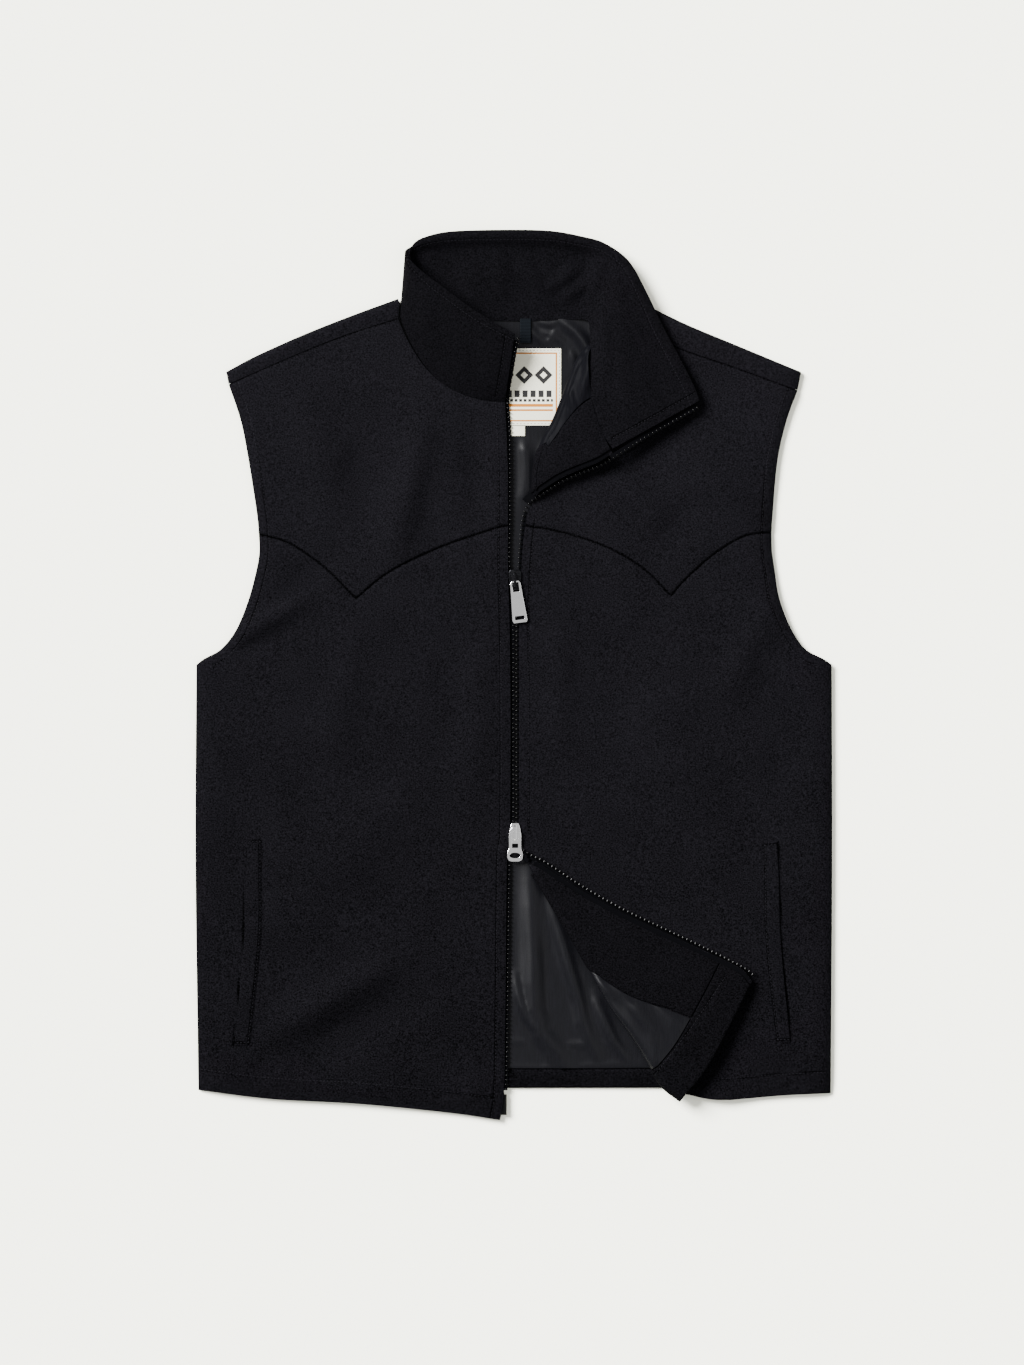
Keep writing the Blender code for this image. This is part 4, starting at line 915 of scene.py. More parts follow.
class TurnedCorner:
    """The wool round a fold: rows along the fold, and places across it.

    Place -2 is under the panel, -1 the lower lip, 0 the outermost line, 1 the upper lip
    and 2 the free edge. The normals point to the cloth's inside, away from the bend.
    """

    def __init__(self, fold, free_edge, last_row, shares, folds):
        self.shares = np.array(shares)
        line, edge = along(fold, shares), along(free_edge, shares)
        columns, directions, places = self.bend(line, edge)
        lip = columns[-1]
        steps = np.linspace(0, 1, LIMB_STEPS + 1)
        limb = self.limb(lip, edge, last_row, steps)
        normal = self.limb_normals(limb, steps)
        fade = np.clip(steps * LIMB_FADE[0], 0, 1) * np.clip((1 - steps) * LIMB_FADE[1], 0, 1)
        limb[..., 2] += folds_at(limb[..., :2], folds) * fade
        self.places = np.array([*places, *(1.0 + steps[1:])])
        self.grid = np.concatenate([np.stack(columns, axis=1), limb[:, 1:]], axis=1)
        self.normal = np.concatenate([np.stack(directions, axis=1), normal[:, 1:]], axis=1)
        self.lower_lip = columns[2]
        self.widths = np.linalg.norm(edge[:, :2] - lip[:, :2], axis=1)

    def bend(self, line, edge):
        """Columns under the panel and round the bend, with their directions and places."""
        out = leftward(line)
        inward = edge[:, :2] - line[:, :2]
        out *= -np.sign(np.sum(out * inward, axis=1))[:, None]
        out[0] = out[1]
        radius, axis_z = line[:, 2], line[:, 3]
        reach = radius + WOOL / 2 + PLY_GAP + FACING_WOOL
        axis = line[:, :2] - out * reach[:, None]
        count = len(line)
        columns, directions, places = [], [], []
        for place, reach_under in ((-2.0, UNDERLAP), (-1.5, UNDERLAP / 2)):
            columns.append(np.column_stack([axis - out * reach_under, axis_z - radius]))
            directions.append(np.tile((0.0, 0.0, -1.0), (count, 1)))
            places.append(place)
        for angle in np.linspace(-math.pi / 2, math.pi / 2, TURN_STEPS + 1):
            spot = axis + out * (radius * math.cos(angle))[:, None]
            columns.append(np.column_stack([spot, axis_z + radius * math.sin(angle)]))
            rise = np.full(count, math.sin(angle))
            directions.append(np.column_stack([out * math.cos(angle), rise]))
            places.append(angle / (math.pi / 2))
        return columns, directions, places

    def limb(self, lip, edge, last_row, steps):
        """The turned cloth from its upper lip to its free edge, without its folds."""
        first = np.array([lip[0] + (edge[0] - lip[0]) * step for step in steps])
        last = along([lip[-1], *last_row, edge[-1]], steps)
        level = (self.shares - self.shares[0]) / (self.shares[-1] - self.shares[0])
        limb = patch(first, last, lip, edge, steps, level)
        bulge = last[:, 2] - (last[0, 2] + (last[-1, 2] - last[0, 2]) * steps)
        straight = lip[:, 2:] + (edge[:, 2:] - lip[:, 2:]) * steps
        limb[:, :, 2] = straight + level[:, None] ** 2 * bulge
        return limb

    def limb_normals(self, limb, steps):
        """The turned cloth's normals, straight up at its upper lip."""
        normal = normals(limb, (len(self.shares) // 2, 2))
        normal[:2 * CORNER_PARTS] = normal[2 * CORNER_PARTS]
        tilt = np.clip(steps * 2, 0, 1)[None, :, None]
        return unit(tilt * normal + (1 - tilt) * np.array((0.0, 0.0, 1.0)))

    def wool(self):
        """The turned part of the wool itself, from the lower lip to the free edge."""
        return self.grid[:, 2:]

    def row(self, share, places, offset):
        """Points at one share of the fold, moved out from the wool."""
        spots = []
        for table, gain in ((self.grid, 1.0), (self.normal, offset)):
            line = np.array([[np.interp(share, self.shares, table[:, i, k])
                              for k in range(3)] for i in range(len(self.places))])
            spots.append(gain * np.stack([np.interp(places, self.places, line[:, k])
                                          for k in range(3)], axis=1))
        return spots[0] + spots[1]

    def ply(self, shares, first_place, last_place, offset):
        """A layer on the wool between two places, which may change along the fold."""
        rows = []
        for share in shares:
            places = np.clip(self.places, first_place(share), last_place(share))
            rows.append(self.row(share, places, offset))
        return np.array(rows)


def shares_between(shares, low, high):
    """The shares inside a span, with the span's own ends."""
    return [low] + [s for s in shares if low + SHARE_STEP < s < high - SHARE_STEP] + [high]


def back_flat(outer, middle, side, hole):
    """The flat part of the back between its edges, at the given shares, and its turns."""
    starts, turns, tops = [], [], []
    tables = (
        (SIDE_RIGHT, ARMHOLE_LOW_RIGHT, ARMHOLE_TOP_RIGHT, SHOULDER_FOLD_RIGHT,
         SHOULDER_SEAM_RIGHT),
        (SIDE_LEFT, ARMHOLE_LOW_LEFT, ARMHOLE_TOP_LEFT, SHOULDER_FOLD_LEFT,
         SHOULDER_SEAM_LEFT),
    )
    for sign, (seam_side, low, high, fold, seam) in zip((-1, 1), tables):
        line = along(fold, outer)
        target = along(seam, outer)
        away = np.linalg.norm(line - line[0], axis=1)
        top_z = FRONT_Z - (FRONT_Z - SIDE_EDGE_Z) * np.exp(-away / EDGE_ROLL)
        radius = (top_z - BACK_Z) / 2
        out = leftward(line) * -sign
        axis = line - out * (radius + WOOL / 2)[:, None]
        bend = []
        for angle in np.linspace(-math.pi / 2, math.pi / 2, SHOULDER_STEPS + 1):
            spot = axis + out * (radius * math.cos(angle))[:, None]
            bend.append(np.column_stack([spot, BACK_Z + radius * (1 + math.sin(angle))]))
        for share in SHOULDER_SHARES:
            bend.append(np.column_stack([axis + (target - axis) * share, top_z]))
        turns.append(sunk(draw_in(np.array(bend), "top"), top=EDGE_DIP))
        corner = BACK_HEM[0] if sign < 0 else BACK_HEM[-1]
        armhole = (*low, *high[1:-1], tuple(axis[0]))
        starts.append(chained((corner, *seam_side[1:]), side, armhole, hole))
        tops.append(axis)
    neck = along((tuple(tops[0][-1]), *BACK_NECK[1:-1], tuple(tops[1][-1])), middle)
    top = np.vstack([tops[0], neck[1:-1], tops[1][::-1]])
    side_us = BACK_SIDE_SHARE * outer
    middle_us = BACK_SIDE_SHARE + (1 - 2 * BACK_SIDE_SHARE) * middle[1:-1]
    us = np.concatenate([side_us, middle_us, 1 - side_us[::-1]])
    vs = joined(side, hole, BACK_PIT_SHARE)
    return patch(along(BACK_HEM, us), top, starts[0], starts[1], us, vs), turns


def make_back(wool):
    """Back panel, flat underneath, wrapped over both shoulders to the seams in front."""
    flat, turns = back_flat(graded(SHOULDER_LENGTH, CLOTH_STEP, last=False),
                            np.linspace(0, 1, BACK_NECK_POINTS),
                            graded(BACK_SIDE_LENGTH, 2 * CLOTH_STEP, last=False),
                            graded(BACK_HOLE_LENGTH, 2 * CLOTH_STEP, first=False))
    # A line above the hem band, along which shade is painted on the back wool through its seam
    # mark
    gap = np.array(((-BAND_SHADE_HALF, BAND_SHADE_Y), (BAND_SHADE_HALF, BAND_SHADE_Y)))
    cloth("back_panel", [raised(flat, BACK_Z), *turns], WOOL, wool, "back", seams=[gap])


def make_back_lining(satin):
    """Satin of the back: loose folds in the neck and in the lower opening."""
    flat, _ = back_flat(np.array(LINING_OUTER), stretches([0.0], LINING_MIDDLE),
                        stretches(LINING_BOTTOM, LINING_SIDE), stretches([0.0], LINING_HOLE))
    lining = flat[1:, 1:-1].copy()
    lining[-1] += unit(lining[-2] - lining[-1])
    x, y = lining[..., 0], lining[..., 1]
    folds = (SATIN_RELIEF * folds_at(lining, NECK_SATIN_FOLDS)
             + HEM_SATIN_RELIEF * folds_at(lining, HEM_SATIN_FOLDS))
    left, low, right, high = LABEL_BOX
    from_label = np.maximum(np.maximum(left - x, x - right),
                            np.maximum(low - TAB_DROP - y, y - high))
    free = np.clip(from_label / LABEL_CALM, 0, 1)
    least_fold, least_rise = LINING_LEAST
    rise = (np.maximum(folds, least_fold) + LINING_WAVES * waves_at(lining, 2.0)) * free
    height = LINING_Z + LINING_LIFT + np.maximum(rise, least_rise)
    cloth("back_lining_satin", [raised(lining, height)], SATIN, satin, "back_lining")


def make_back_hem_band(wool):
    """The wool turned up inside the back's hem."""
    low = drawn(BACK_HEM, BAND_POINTS[0], *BAND_ENDS)
    rows = [low + (0.0, rise) for rise in np.linspace(*BAND_ROWS, BAND_POINTS[1])]
    grid = raised(np.array(rows), BAND_Z)
    height, short, long = BAND_RIPPLE
    grid[..., 2] += height * np.sin(grid[..., 0] / short) * np.sin(grid[..., 0] / long)
    cloth("back_hem_band_wool", [sunk(grid, top=BAND_DIP, bottom=BAND_DIP)],
          FACING_WOOL, wool, "back_hem_band")


def rise_of(points, lines=()):
    """How far the fronts' wool stands above its even height, less beside the zip and sides."""
    x = np.abs(points[..., 0])
    by_side = np.clip((CALM_SIDE[0] - x) / CALM_SIDE[1], 0, 1)
    by_zip = np.clip((x - CALM_ZIP[0]) / CALM_ZIP[1], 0, 1)
    calm = by_side * (CALM_SHARE + (1 - CALM_SHARE) * by_zip)
    height = calm * (waves_at(points) + WOOL_RELIEF * folds_at(points, WOOL_FOLDS)
                     + HEM_RELIEF * folds_at(points, HEM_FOLDS))
    troughs = np.minimum(height, 0)
    height = np.maximum(height, 0) - WOOL_TROUGH * (1 - np.exp(troughs / WOOL_TROUGH))
    return height + (puckers_at(points, lines) if len(lines) else 0.0)


def droop_at(points, table):
    """How far a front hem hangs down over the table below the back's shorter hem."""
    hem = drawn(table, DROOP_POINTS)
    edge = np.interp(points[..., 0], hem[:, 0], hem[:, 1])
    droop = bpy.context.scene.vest_sizes.hem_droop / MM
    return droop * np.exp(-((points[..., 1] - edge) / DROOP_REACH) ** 2)


def sewing_lines():
    """The visible lines of sewing on each piece, in plan, with lines beside the pockets' mouths
    where shade is painted.
    """
    fine, finer = np.linspace(0, 1, FINE), np.linspace(0, 1, FINER)
    yokes = [chained(YOKE_OUTER_RIGHT, fine, YOKE_INNER_RIGHT, finer),
             chained(YOKE_OUTER_LEFT, fine, YOKE_INNER_LEFT, finer)]
    shoulders = [drawn(line, FINE) for line in (SHOULDER_SEAM_RIGHT, SHOULDER_SEAM_LEFT)]
    pockets = ((WELT_RIGHT_SEWN, WELT_RIGHT_MOUTH, -1), (WELT_LEFT_SEWN, WELT_LEFT_MOUTH, 1))
    welts = [drawn(sewn, WELT_POINTS, *WELT_SEWN) + (out * WELT_STITCH_IN, 0.0)
             for sewn, _, out in pockets]
    welts += [np.array((sewn[end], mouth[end])) + (0.0, rise) for sewn, mouth, _ in pockets
              for end, rise in ((0, -WELT_END_IN), (-1, WELT_END_IN))]
    # Lines beside the pockets' mouths, along which shade is painted on the front wool
    mouths = [drawn(mouth, FINE) + (out * MOUTH_SEAM_OUT, 0.0) for _, mouth, out in pockets]
    seam, rim, _ = collar_surface()
    rim_line = seam + (rim - seam) * RIM_STITCH
    left, low, right, high = np.array(LABEL_BOX) + LABEL_STITCH_IN * np.array((1, 1, -1, -1))
    return {
        "front_right": [
            beside((*FRONT_EDGE_RIGHT, *YOKE_EDGE_RIGHT[1:]), STITCH_IN),
            drawn(HEM_RIGHT, HEM_POINTS_RIGHT, *HEM_SEWN_RIGHT) + (0.0, HEM_STITCH_UP),
            beside((*ARMHOLE_LOW_RIGHT[1:], *ARMHOLE_TOP_RIGHT[1:]), -STITCH_IN)],
        "front_left": [
            beside((*FRONT_EDGE_LEFT, *YOKE_EDGE_LEFT[1:]), -STITCH_IN),
            drawn(HEM_LEFT, HEM_POINTS_LEFT, *HEM_SEWN_LEFT) + (0.0, HEM_STITCH_UP),
            beside((*ARMHOLE_LOW_LEFT[1:], *ARMHOLE_TOP_LEFT[1:]), STITCH_IN)],
        "collar": [rim_line[:, :2], np.array(COLLAR_END_RIGHT), np.array(COLLAR_END_LEFT)],
        "hem_band": [np.array(BAND_LINE)],
        "welts": welts,
        "label": [np.array(((left, low), (right, low), (right, high), (left, high), (left, low)))],
        "seams": [*yokes, *shoulders, *mouths],
    }


def make_right_front(wool):
    """Right front, flat on the back, to its yoke seam."""
    sewing = sewing_lines()
    us = panel_columns()
    side = graded(FRONT_SIDE_LENGTH, CLOTH_STEP, last=False)
    hole = graded(FRONT_HOLE_LENGTH, CLOTH_STEP, first=False)
    vs = joined(side, hole, FRONT_PIT_SHARE)
    seam = chained(YOKE_OUTER_RIGHT, OUTER_COLUMNS, YOKE_INNER_RIGHT, INNER_COLUMNS)
    start = chained(SIDE_RIGHT, side, ARMHOLE_LOW_RIGHT, hole)
    flat = patch(along(HEM_RIGHT, us), seam, start, along(FRONT_EDGE_RIGHT, vs), us, vs)
    front = draw_in(laid(flat, FRONT_Z), "top")
    front[..., 2] += rise_of(front[..., :2], sewing["front_right"])
    front[..., 2] -= droop_at(front[..., :2], HEM_RIGHT)
    cloth("front_right_wool", [sunk(front, top=SEAM_DIP, end=EDGE_DIP)], WOOL, wool,
          "front_right", sewing["front_right"], sewing["seams"])


def make_right_yoke(wool):
    """Right yoke, from its pointed seam to the shoulder."""
    sewing = sewing_lines()
    us, vs = panel_columns(), graded(YOKE_LENGTH, CLOTH_STEP)
    seam = chained(YOKE_OUTER_RIGHT, OUTER_COLUMNS, YOKE_INNER_RIGHT, INNER_COLUMNS)
    top = chained(SHOULDER_SEAM_RIGHT, OUTER_COLUMNS, NECK_RIGHT, INNER_COLUMNS)
    start = along(ARMHOLE_TOP_RIGHT, vs)
    flat = patch(seam, top, start, along(YOKE_EDGE_RIGHT, vs), us, vs)
    beyond = np.clip((us - POINT_SHARE) / (1 - POINT_SHARE) * NECK_RISE_REACH, 0, 1)
    height = FRONT_Z + NECK_RISE * vs[:, None] ** NECK_RISE_POWER * beyond[None]
    yoke = draw_in(laid(flat, height), "bottom", "top")
    yoke[..., 2] += rise_of(yoke[..., :2], sewing["front_right"])
    cloth("yoke_right_wool", [sunk(yoke, bottom=YOKE_DIP, top=EDGE_DIP, end=EDGE_DIP)], WOOL,
          wool, "yoke_right", sewing["front_right"], sewing["seams"])


def laid_to_lip(flat, us, end_z):
    """A left panel that rises to its corner's lip, and how free each of its points is."""
    near_edge = np.clip((us - LIP_BLEND[0]) / (LIP_BLEND[1] - LIP_BLEND[0]), 0, 1) ** 2
    inner = FRONT_Z + (end_z - FRONT_Z)[:, None] * near_edge[None]
    free = 1 - near_edge[None] * np.clip((end_z - FRONT_Z) / LIP_STAND, 0, 1)[:, None]
    return laid(flat, inner), free


def make_left_front(wool, inside, satin):
    """Left front with its folded hem corner."""
    sewing = sewing_lines()
    us = panel_columns()
    seam = chained(YOKE_OUTER_LEFT, OUTER_COLUMNS, YOKE_INNER_LEFT, INNER_COLUMNS)
    corner = TurnedCorner(HEM_FOLD, HEM_FREE_EDGE, HEM_LAST_ROW,
                          refined(HEM_SHARES, CORNER_PARTS), FLAP_FOLDS)
    rows = 1 - corner.shares[::-1]
    plain = graded(LEFT_PLAIN_LENGTH, CLOTH_STEP, first=False)
    vs = joined((rows - rows[0]) / (rows[-1] - rows[0]), plain, HEM_CORNER_SHARE)
    pit = int(np.argmin(np.abs(vs - LEFT_PIT_SHARE)))
    start = chained(SIDE_LEFT, vs[:pit + 1] / vs[pit],
                    ARMHOLE_LOW_LEFT, (vs[pit:] - vs[pit]) / (1 - vs[pit]))
    lips = corner.lower_lip[::-1]
    edge = along((tuple(lips[-1][:2]), *FRONT_EDGE_LEFT), plain)
    end = np.vstack([lips[:, :2], edge[1:]])
    end_z = np.concatenate([lips[:, 2], np.full(len(plain) - 1, FRONT_Z)])
    hem = along((*HEM_LEFT, tuple(end[0])), us)
    front, free = laid_to_lip(patch(hem, seam, start, end, us, vs), us, end_z)
    draw_in(front, "top")
    front[..., 2] += rise_of(front[..., :2], sewing["front_left"]) * free
    front[..., 2] -= droop_at(front[..., :2], HEM_LEFT) * free
    cloth("front_left_wool", [sunk(front, top=SEAM_DIP), corner.wool()], WOOL, wool,
          "front_left", sewing["front_left"], sewing["seams"])
    face_corner(corner, "hem", HEM_FACING_SEAM, HEM_BAND_SHARE, inside, satin)


def make_left_yoke(wool, inside, satin):
    """Left yoke with its turned neck corner."""
    sewing = sewing_lines()
    us = panel_columns()
    seam = chained(YOKE_OUTER_LEFT, OUTER_COLUMNS, YOKE_INNER_LEFT, INNER_COLUMNS)
    corner = TurnedCorner(NECK_FOLD, NECK_FREE_EDGE, NECK_LAST_ROW,
                          refined(NECK_SHARES, CORNER_PARTS), LAPEL_FOLDS)
    turned = (corner.shares - corner.shares[0]) / (1 - corner.shares[0])
    low = graded(NECK_START_LENGTH, CLOTH_STEP, last=False)
    vs = np.concatenate([NECK_CORNER_START * low,
                         NECK_CORNER_START + (1 - NECK_CORNER_START) * turned])
    lips = corner.lower_lip
    below = along(YOKE_EDGE_LEFT, np.clip(low * 2, 0, 1))
    to_lip = below[-1] + (lips[0, :2] - below[-1]) * ((low - 0.5) * 2)[:, None]
    below[low > 0.5] = to_lip[low > 0.5]
    end = np.vstack([below, lips[:, :2]])
    keep = np.concatenate([[True], np.linalg.norm(np.diff(end, axis=0), axis=1) > MERGE_EDGE])
    end, vs = end[keep], vs[keep]
    end_z = np.concatenate([np.full(len(below), FRONT_Z), lips[:, 2]])[keep]
    behind = (*NECK_LEFT_BEHIND, tuple(lips[-1][:2]))
    top = chained(SHOULDER_SEAM_LEFT, OUTER_COLUMNS, behind, INNER_COLUMNS)
    flat = patch(seam, top, along(ARMHOLE_TOP_LEFT, vs), end, us, vs)
    yoke, free = laid_to_lip(flat, us, end_z)
    shoulder = yoke[:, :len(OUTER_COLUMNS) + 1]
    draw_in(yoke, "bottom")
    draw_in(shoulder, "top")
    yoke[..., 2] += rise_of(yoke[..., :2], sewing["front_left"]) * free
    sunk(yoke, bottom=YOKE_DIP)
    sunk(shoulder, top=EDGE_DIP)
    cloth("yoke_left_wool", [yoke, corner.wool()], WOOL, wool, "yoke_left",
          sewing["front_left"], sewing["seams"])
    face_corner(corner, "neck", NECK_FACING_SEAM, 1.0, inside, satin)


def face_corner(corner, where, seam_table, band_share, inside, satin):
    """Facing, lining and, at the hem, the turned-up band on the inside of a corner."""
    shares, crossings = np.array(seam_table).T
    facing_out = WOOL / 2 + TURNED_GAP + FACING_WOOL / 2
    satin_out = WOOL / 2 + TURNED_GAP + SATIN / 2
    top_share = band_share - (BAND_GAP_SHARE if band_share < 1 else 0.0)
    bend = corner.places[np.abs(corner.places) <= 1]
    steps = sorted({*corner.shares, *np.interp(bend, crossings[1:], shares[1:])})

    def seam_place(share, side):
        place = float(np.interp(share, shares, crossings))
        return place + side * (BEND_SEAM_GAP if place < 1 else LIMB_SEAM_GAP)

    def facing_end(share):
        width = np.interp(share, corner.shares, corner.widths)
        return max(FACING_LEAST_END, 2 - TAPE_SEEN / max(width, TAPE_SEEN))

    def facing_start(share):
        return min(seam_place(share, 1), facing_end(share) - FACING_LEAST_WIDTH)

    rows = shares_between(steps, corner.shares[0] + FACING_START, top_share)
    grid = corner.ply(rows, facing_start, facing_end, facing_out)
    cloth(f"facing_{where}_wool", [sunk(grid, start=FACING_DIP, end=TAPE_DIP)],
          FACING_WOOL, inside, f"facing_left_{where}")
    first = float(np.interp(LINING_START, crossings[1:], shares[1:]))
    rows = shares_between(steps, first, top_share)
    grid = corner.ply(rows, lambda share: -2.0, lambda share: seam_place(share, -1), satin_out)
    table, gain = ((FLAP_SATIN_FOLDS, HEM_SATIN_RELIEF) if where == "hem"
                   else (NECK_SATIN_FOLDS, SATIN_RELIEF))
    grid[..., 2] += gain * np.maximum(folds_at(grid[..., :2], table), 0)
    cloth(f"lining_{where}_satin", [grid], SATIN, satin, f"front_lining_left_{where}")
    if band_share < 1:
        rows = shares_between(corner.shares, band_share + BAND_GAP_SHARE, 1.0)
        grid = corner.ply(rows, lambda share: -2.0, facing_end, facing_out)
        lines = sewing_lines()["hem_band"]
        depth, reach = BAND_LINE_DIP
        far = apart(grid[..., :2], segments(lines))[0].min(axis=-1)
        grid[..., 2] -= depth * np.exp(-(far / reach) ** 2)
        cloth("hem_band_wool", [sunk(grid, bottom=FACING_DIP)], FACING_WOOL, inside,
              "hem_band_left", lines)


def collar_surface():
    """The collar's neck seam, rim and crown at close stations."""
    stations = smooth(COLLAR, COLLAR_PARTS)
    return stations[:, 0:3], stations[:, 3:6], stations[:, 6]


def make_collar(wool, inside):
    """Stand collar: outer wool and facing, turned over on the left."""
    seam, rim, crown = collar_surface()
    length = np.linalg.norm(rim - seam, axis=1).mean()
    shares = np.array((-COLLAR_TUCK, *graded(length, COLLAR_STEP)))
    middle = np.array([seam + (rim - seam) * share for share in shares])
    middle[..., 2] += [crown * 4 * share * (1 - share) for share in shares]
    by_seam, by_rim = COLLAR_FADE
    level = np.clip(shares * by_seam, 0, 1) * np.clip((1 - shares) * by_rim, 0, 1)
    middle[..., 2] += COLLAR_RELIEF * folds_at(middle[..., :2], COLLAR_FOLDS) * level[:, None]
    middle[..., 2] += COLLAR_WAVES * waves_at(middle[..., :2], 1.0) * level[:, None]
    station = np.linspace(0, len(COLLAR) - 1, middle.shape[1])
    rim_rise = np.interp(station, *np.array(RIM_RISE).T)
    roll = np.exp(-((shares - RIM_ROLL[0]) / RIM_ROLL[1]) ** 2)
    middle[..., 2] += roll[:, None] * rim_rise[None]
    middle[..., 2] = np.maximum(middle[..., 2], WOOL + PLY_GAP / 2)
    out = normals(middle, (len(shares) // 2, COLLAR_FLAT_STATION * COLLAR_PARTS))
    lines = sewing_lines()["collar"]
    for name, thickness, side, node, material in (
            ("collar_wool", WOOL, -1, "collar", wool),
            ("collar_facing_wool", FACING_WOOL, 1, "collar_facing", inside)):
        layer = middle + side * out * (PLY_GAP + thickness) / 2
        cloth(name, [layer], thickness, material, node, lines)


def make_pockets(wool):
    """Single welts, sewn round, with their mouths on the outer side."""
    height = FRONT_Z + WOOL / 2 + PLY_GAP + WELT_WOOL / 2 - WELT_SET
    shares = graded(WELT_LENGTH, CLOTH_STEP)
    across = np.linspace(0, 1, WELT_ROWS)
    arch = WELT_ARCH * np.sin(math.pi * across) + WELT_ARCH * (1 - across) ** 2
    lines = sewing_lines()["welts"]
    for name, node, mouth, sewn in (
            ("welt_right_wool", "welt_right", WELT_RIGHT_MOUTH, WELT_RIGHT_SEWN),
            ("welt_left_wool", "welt_left", WELT_LEFT_MOUTH, WELT_LEFT_SEWN)):
        outer, inner = along(mouth, shares), along(sewn, shares)
        flat = np.array([outer + (inner - outer) * share for share in across])
        welt = raised(flat, height + rise_of(flat))
        welt[..., 2] += arch[:, None]
        sunk(welt, top=WELT_DIP, start=WELT_END_DIP, end=WELT_END_DIP)
        cloth(name, [welt], WELT_WOOL, wool, node, lines)


def make_label(label, tab, loop):
    """Woven neck label with turned edges, size tab and hanger loop."""
    for name, node, box, height, thick, material in (
            ("label_woven", "label", LABEL_BOX, LABEL_Z, LABEL_CLOTH, label),
            ("size_tab_woven", "size_tab", SIZE_TAB_BOX, LABEL_Z, LABEL_CLOTH, tab),
            ("hanger_loop_tape", "hanger_loop", LOOP_BOX, LOOP_Z, LOOP_CLOTH, loop)):
        left, low, right, high = box
        xs = left + (right - left) * graded(right - left, TRIM_STEP)
        ys = low + (high - low) * graded(high - low, TRIM_STEP)
        flat = np.stack(np.meshgrid(xs, ys), axis=2)
        grid = raised(flat, height)
        if node == "label":
            wave, length_x, length_y = LABEL_WAVE
            grid[..., 2] += LABEL_LIFT + (wave * np.sin(flat[..., 0] / length_x)
                                          * np.sin(flat[..., 1] / length_y))
        if node == "hanger_loop":
            share = (flat[..., 1] - low) / (high - low)
            grid[..., 2] += LOOP_ARCH * np.sin(math.pi * share) + LOOP_LIFT
        cloth(name, [grid], thick, material, node)


def carried(path, step):
    """Places at even steps along a smooth path, and the way the path runs there."""
    spots = spaced(smooth(path, CHAIN_PARTS), step)
    return spots, unit(np.gradient(spots, axis=0))


def crossways(way):
    """Sideways and upward directions for each way along a path."""
    side = unit(np.column_stack([way[:, 1], -way[:, 0], np.zeros(len(way))]))
    return side, np.cross(side, way)


def turned_to(spot, x_axis, y_axis, z_axis):
    """A place in metres with its own axes."""
    turn = Matrix([x_axis, y_axis, z_axis]).transposed().to_4x4()
    return Matrix.Translation(spot) @ turn


def sized(size):
    """Scale by three sizes in millimetres."""
    return Matrix.Diagonal((*(length * MM for length in size), 1.0))


def ease(mesh_data, edges, rounding):
    """Round edges of a bmesh."""
    bmesh.ops.bevel(mesh_data, geom=list(edges), offset=rounding * MM, segments=EDGE_SEGMENTS,
                    profile=0.5, affect="EDGES", material=-1, clamp_overlap=True)


def eased_box(mesh_data, place, size, rounding):
    """A box with rounded edges."""
    made = bmesh.ops.create_cube(mesh_data, size=1.0, matrix=place @ sized(size))
    ease(mesh_data, {edge for vertex in made["verts"] for edge in vertex.link_edges}, rounding)


def make_teeth(teeth, pitch):
    """Moulded teeth, each clasping the tape's edge, of both halves of the chain."""
    for name, node, path, start in (
            ("zip_teeth_right", "zip_chain_right", CHAIN_RIGHT, 0.25),
            ("zip_teeth_left", "zip_chain_left", CHAIN_LEFT, 0.0)):
        spots, way = carried(path, pitch)
        side, up = crossways(way)
        mesh_data = bmesh.new()
        for spot, *axes in zip(spots + way * (start * pitch), side, way, up):
            eased_box(mesh_data, turned_to(Vector(spot) * MM, *axes), TOOTH_SIZE, TOOTH_ROUND)
        settle(link(name, mesh_data, teeth), node)


def drop(bed, x, y):
    """Where a thing dropped at a place in plan meets a bed, and the bed's normal there."""
    return bed.ray_cast(Vector((x, y, DROP_FROM)) * MM, -UP)[:2]


def strip(spots, side, widths, lift, thickness, bed):
    """Rows of points beside a path, resting on a bed where one is given."""
    rows = []
    for distance in np.linspace(*widths):
        row = spots + side * distance
        row[:, 2] += lift
        for spot in row if bed and distance else ():
            hit, _ = drop(bed, spot[0], spot[1])
            if hit is not None:
                spot[2] = max(hit.z / MM + thickness / 2 + TAPE_GAP, TAPE_LEAST_Z)
        rows.append(row)
    return np.array(rows)


def make_tapes(tape):
    """Woven tape: beside the closed chain, and showing on the two turned corners."""
    bed = bed_of("front_left_wool", "yoke_left_wool", "front_right_wool", "yoke_right_wool")
    for node, path, step, pieces in (
            ("zip_chain_right", CHAIN_RIGHT, TAPE_STEP_RIGHT, TAPES_RIGHT),
            ("zip_chain_left", CHAIN_LEFT, TAPE_STEP_LEFT, TAPES_LEFT)):
        spots, way = carried(path, step)
        side, _ = crossways(way)
        x, y = spots[:, 0], spots[:, 1]
        for name, (left, low, right, high), sign, widths, lift, rests in pieces:
            here = (x > left) & (x < right) & (y > low) & (y < high)
            thickness = TAPE_SHOWN_THICK if rests else TAPE_THICK
            mesh_data = bmesh.new()
            lay(mesh_data, strip(spots[here], sign * side[here], widths, lift, thickness,
                                 bed if rests else None))
            bmesh.ops.recalc_face_normals(mesh_data, faces=mesh_data.faces)
            thing = link(name, mesh_data, tape)
            thicken(thing, thickness)
            settle(thing, node)


def make_pin(teeth):
    """The insertion pin and its rib at the foot of the right chain."""
    mesh_data = bmesh.new()
    for (left, low, right, high), (bottom, top), rounding in (
            (PIN_BOX, PIN_Z, PIN_ROUND), (PIN_RIB, PIN_RIB_Z, PIN_RIB_ROUND)):
        middle = Vector(((left + right) / 2, (low + high) / 2, (bottom + top) / 2)) * MM
        eased_box(mesh_data, Matrix.Translation(middle), (right - left, high - low, top - bottom),
                  rounding)
    settle(link("zip_insertion_pin", mesh_data, teeth), "zip_pin")


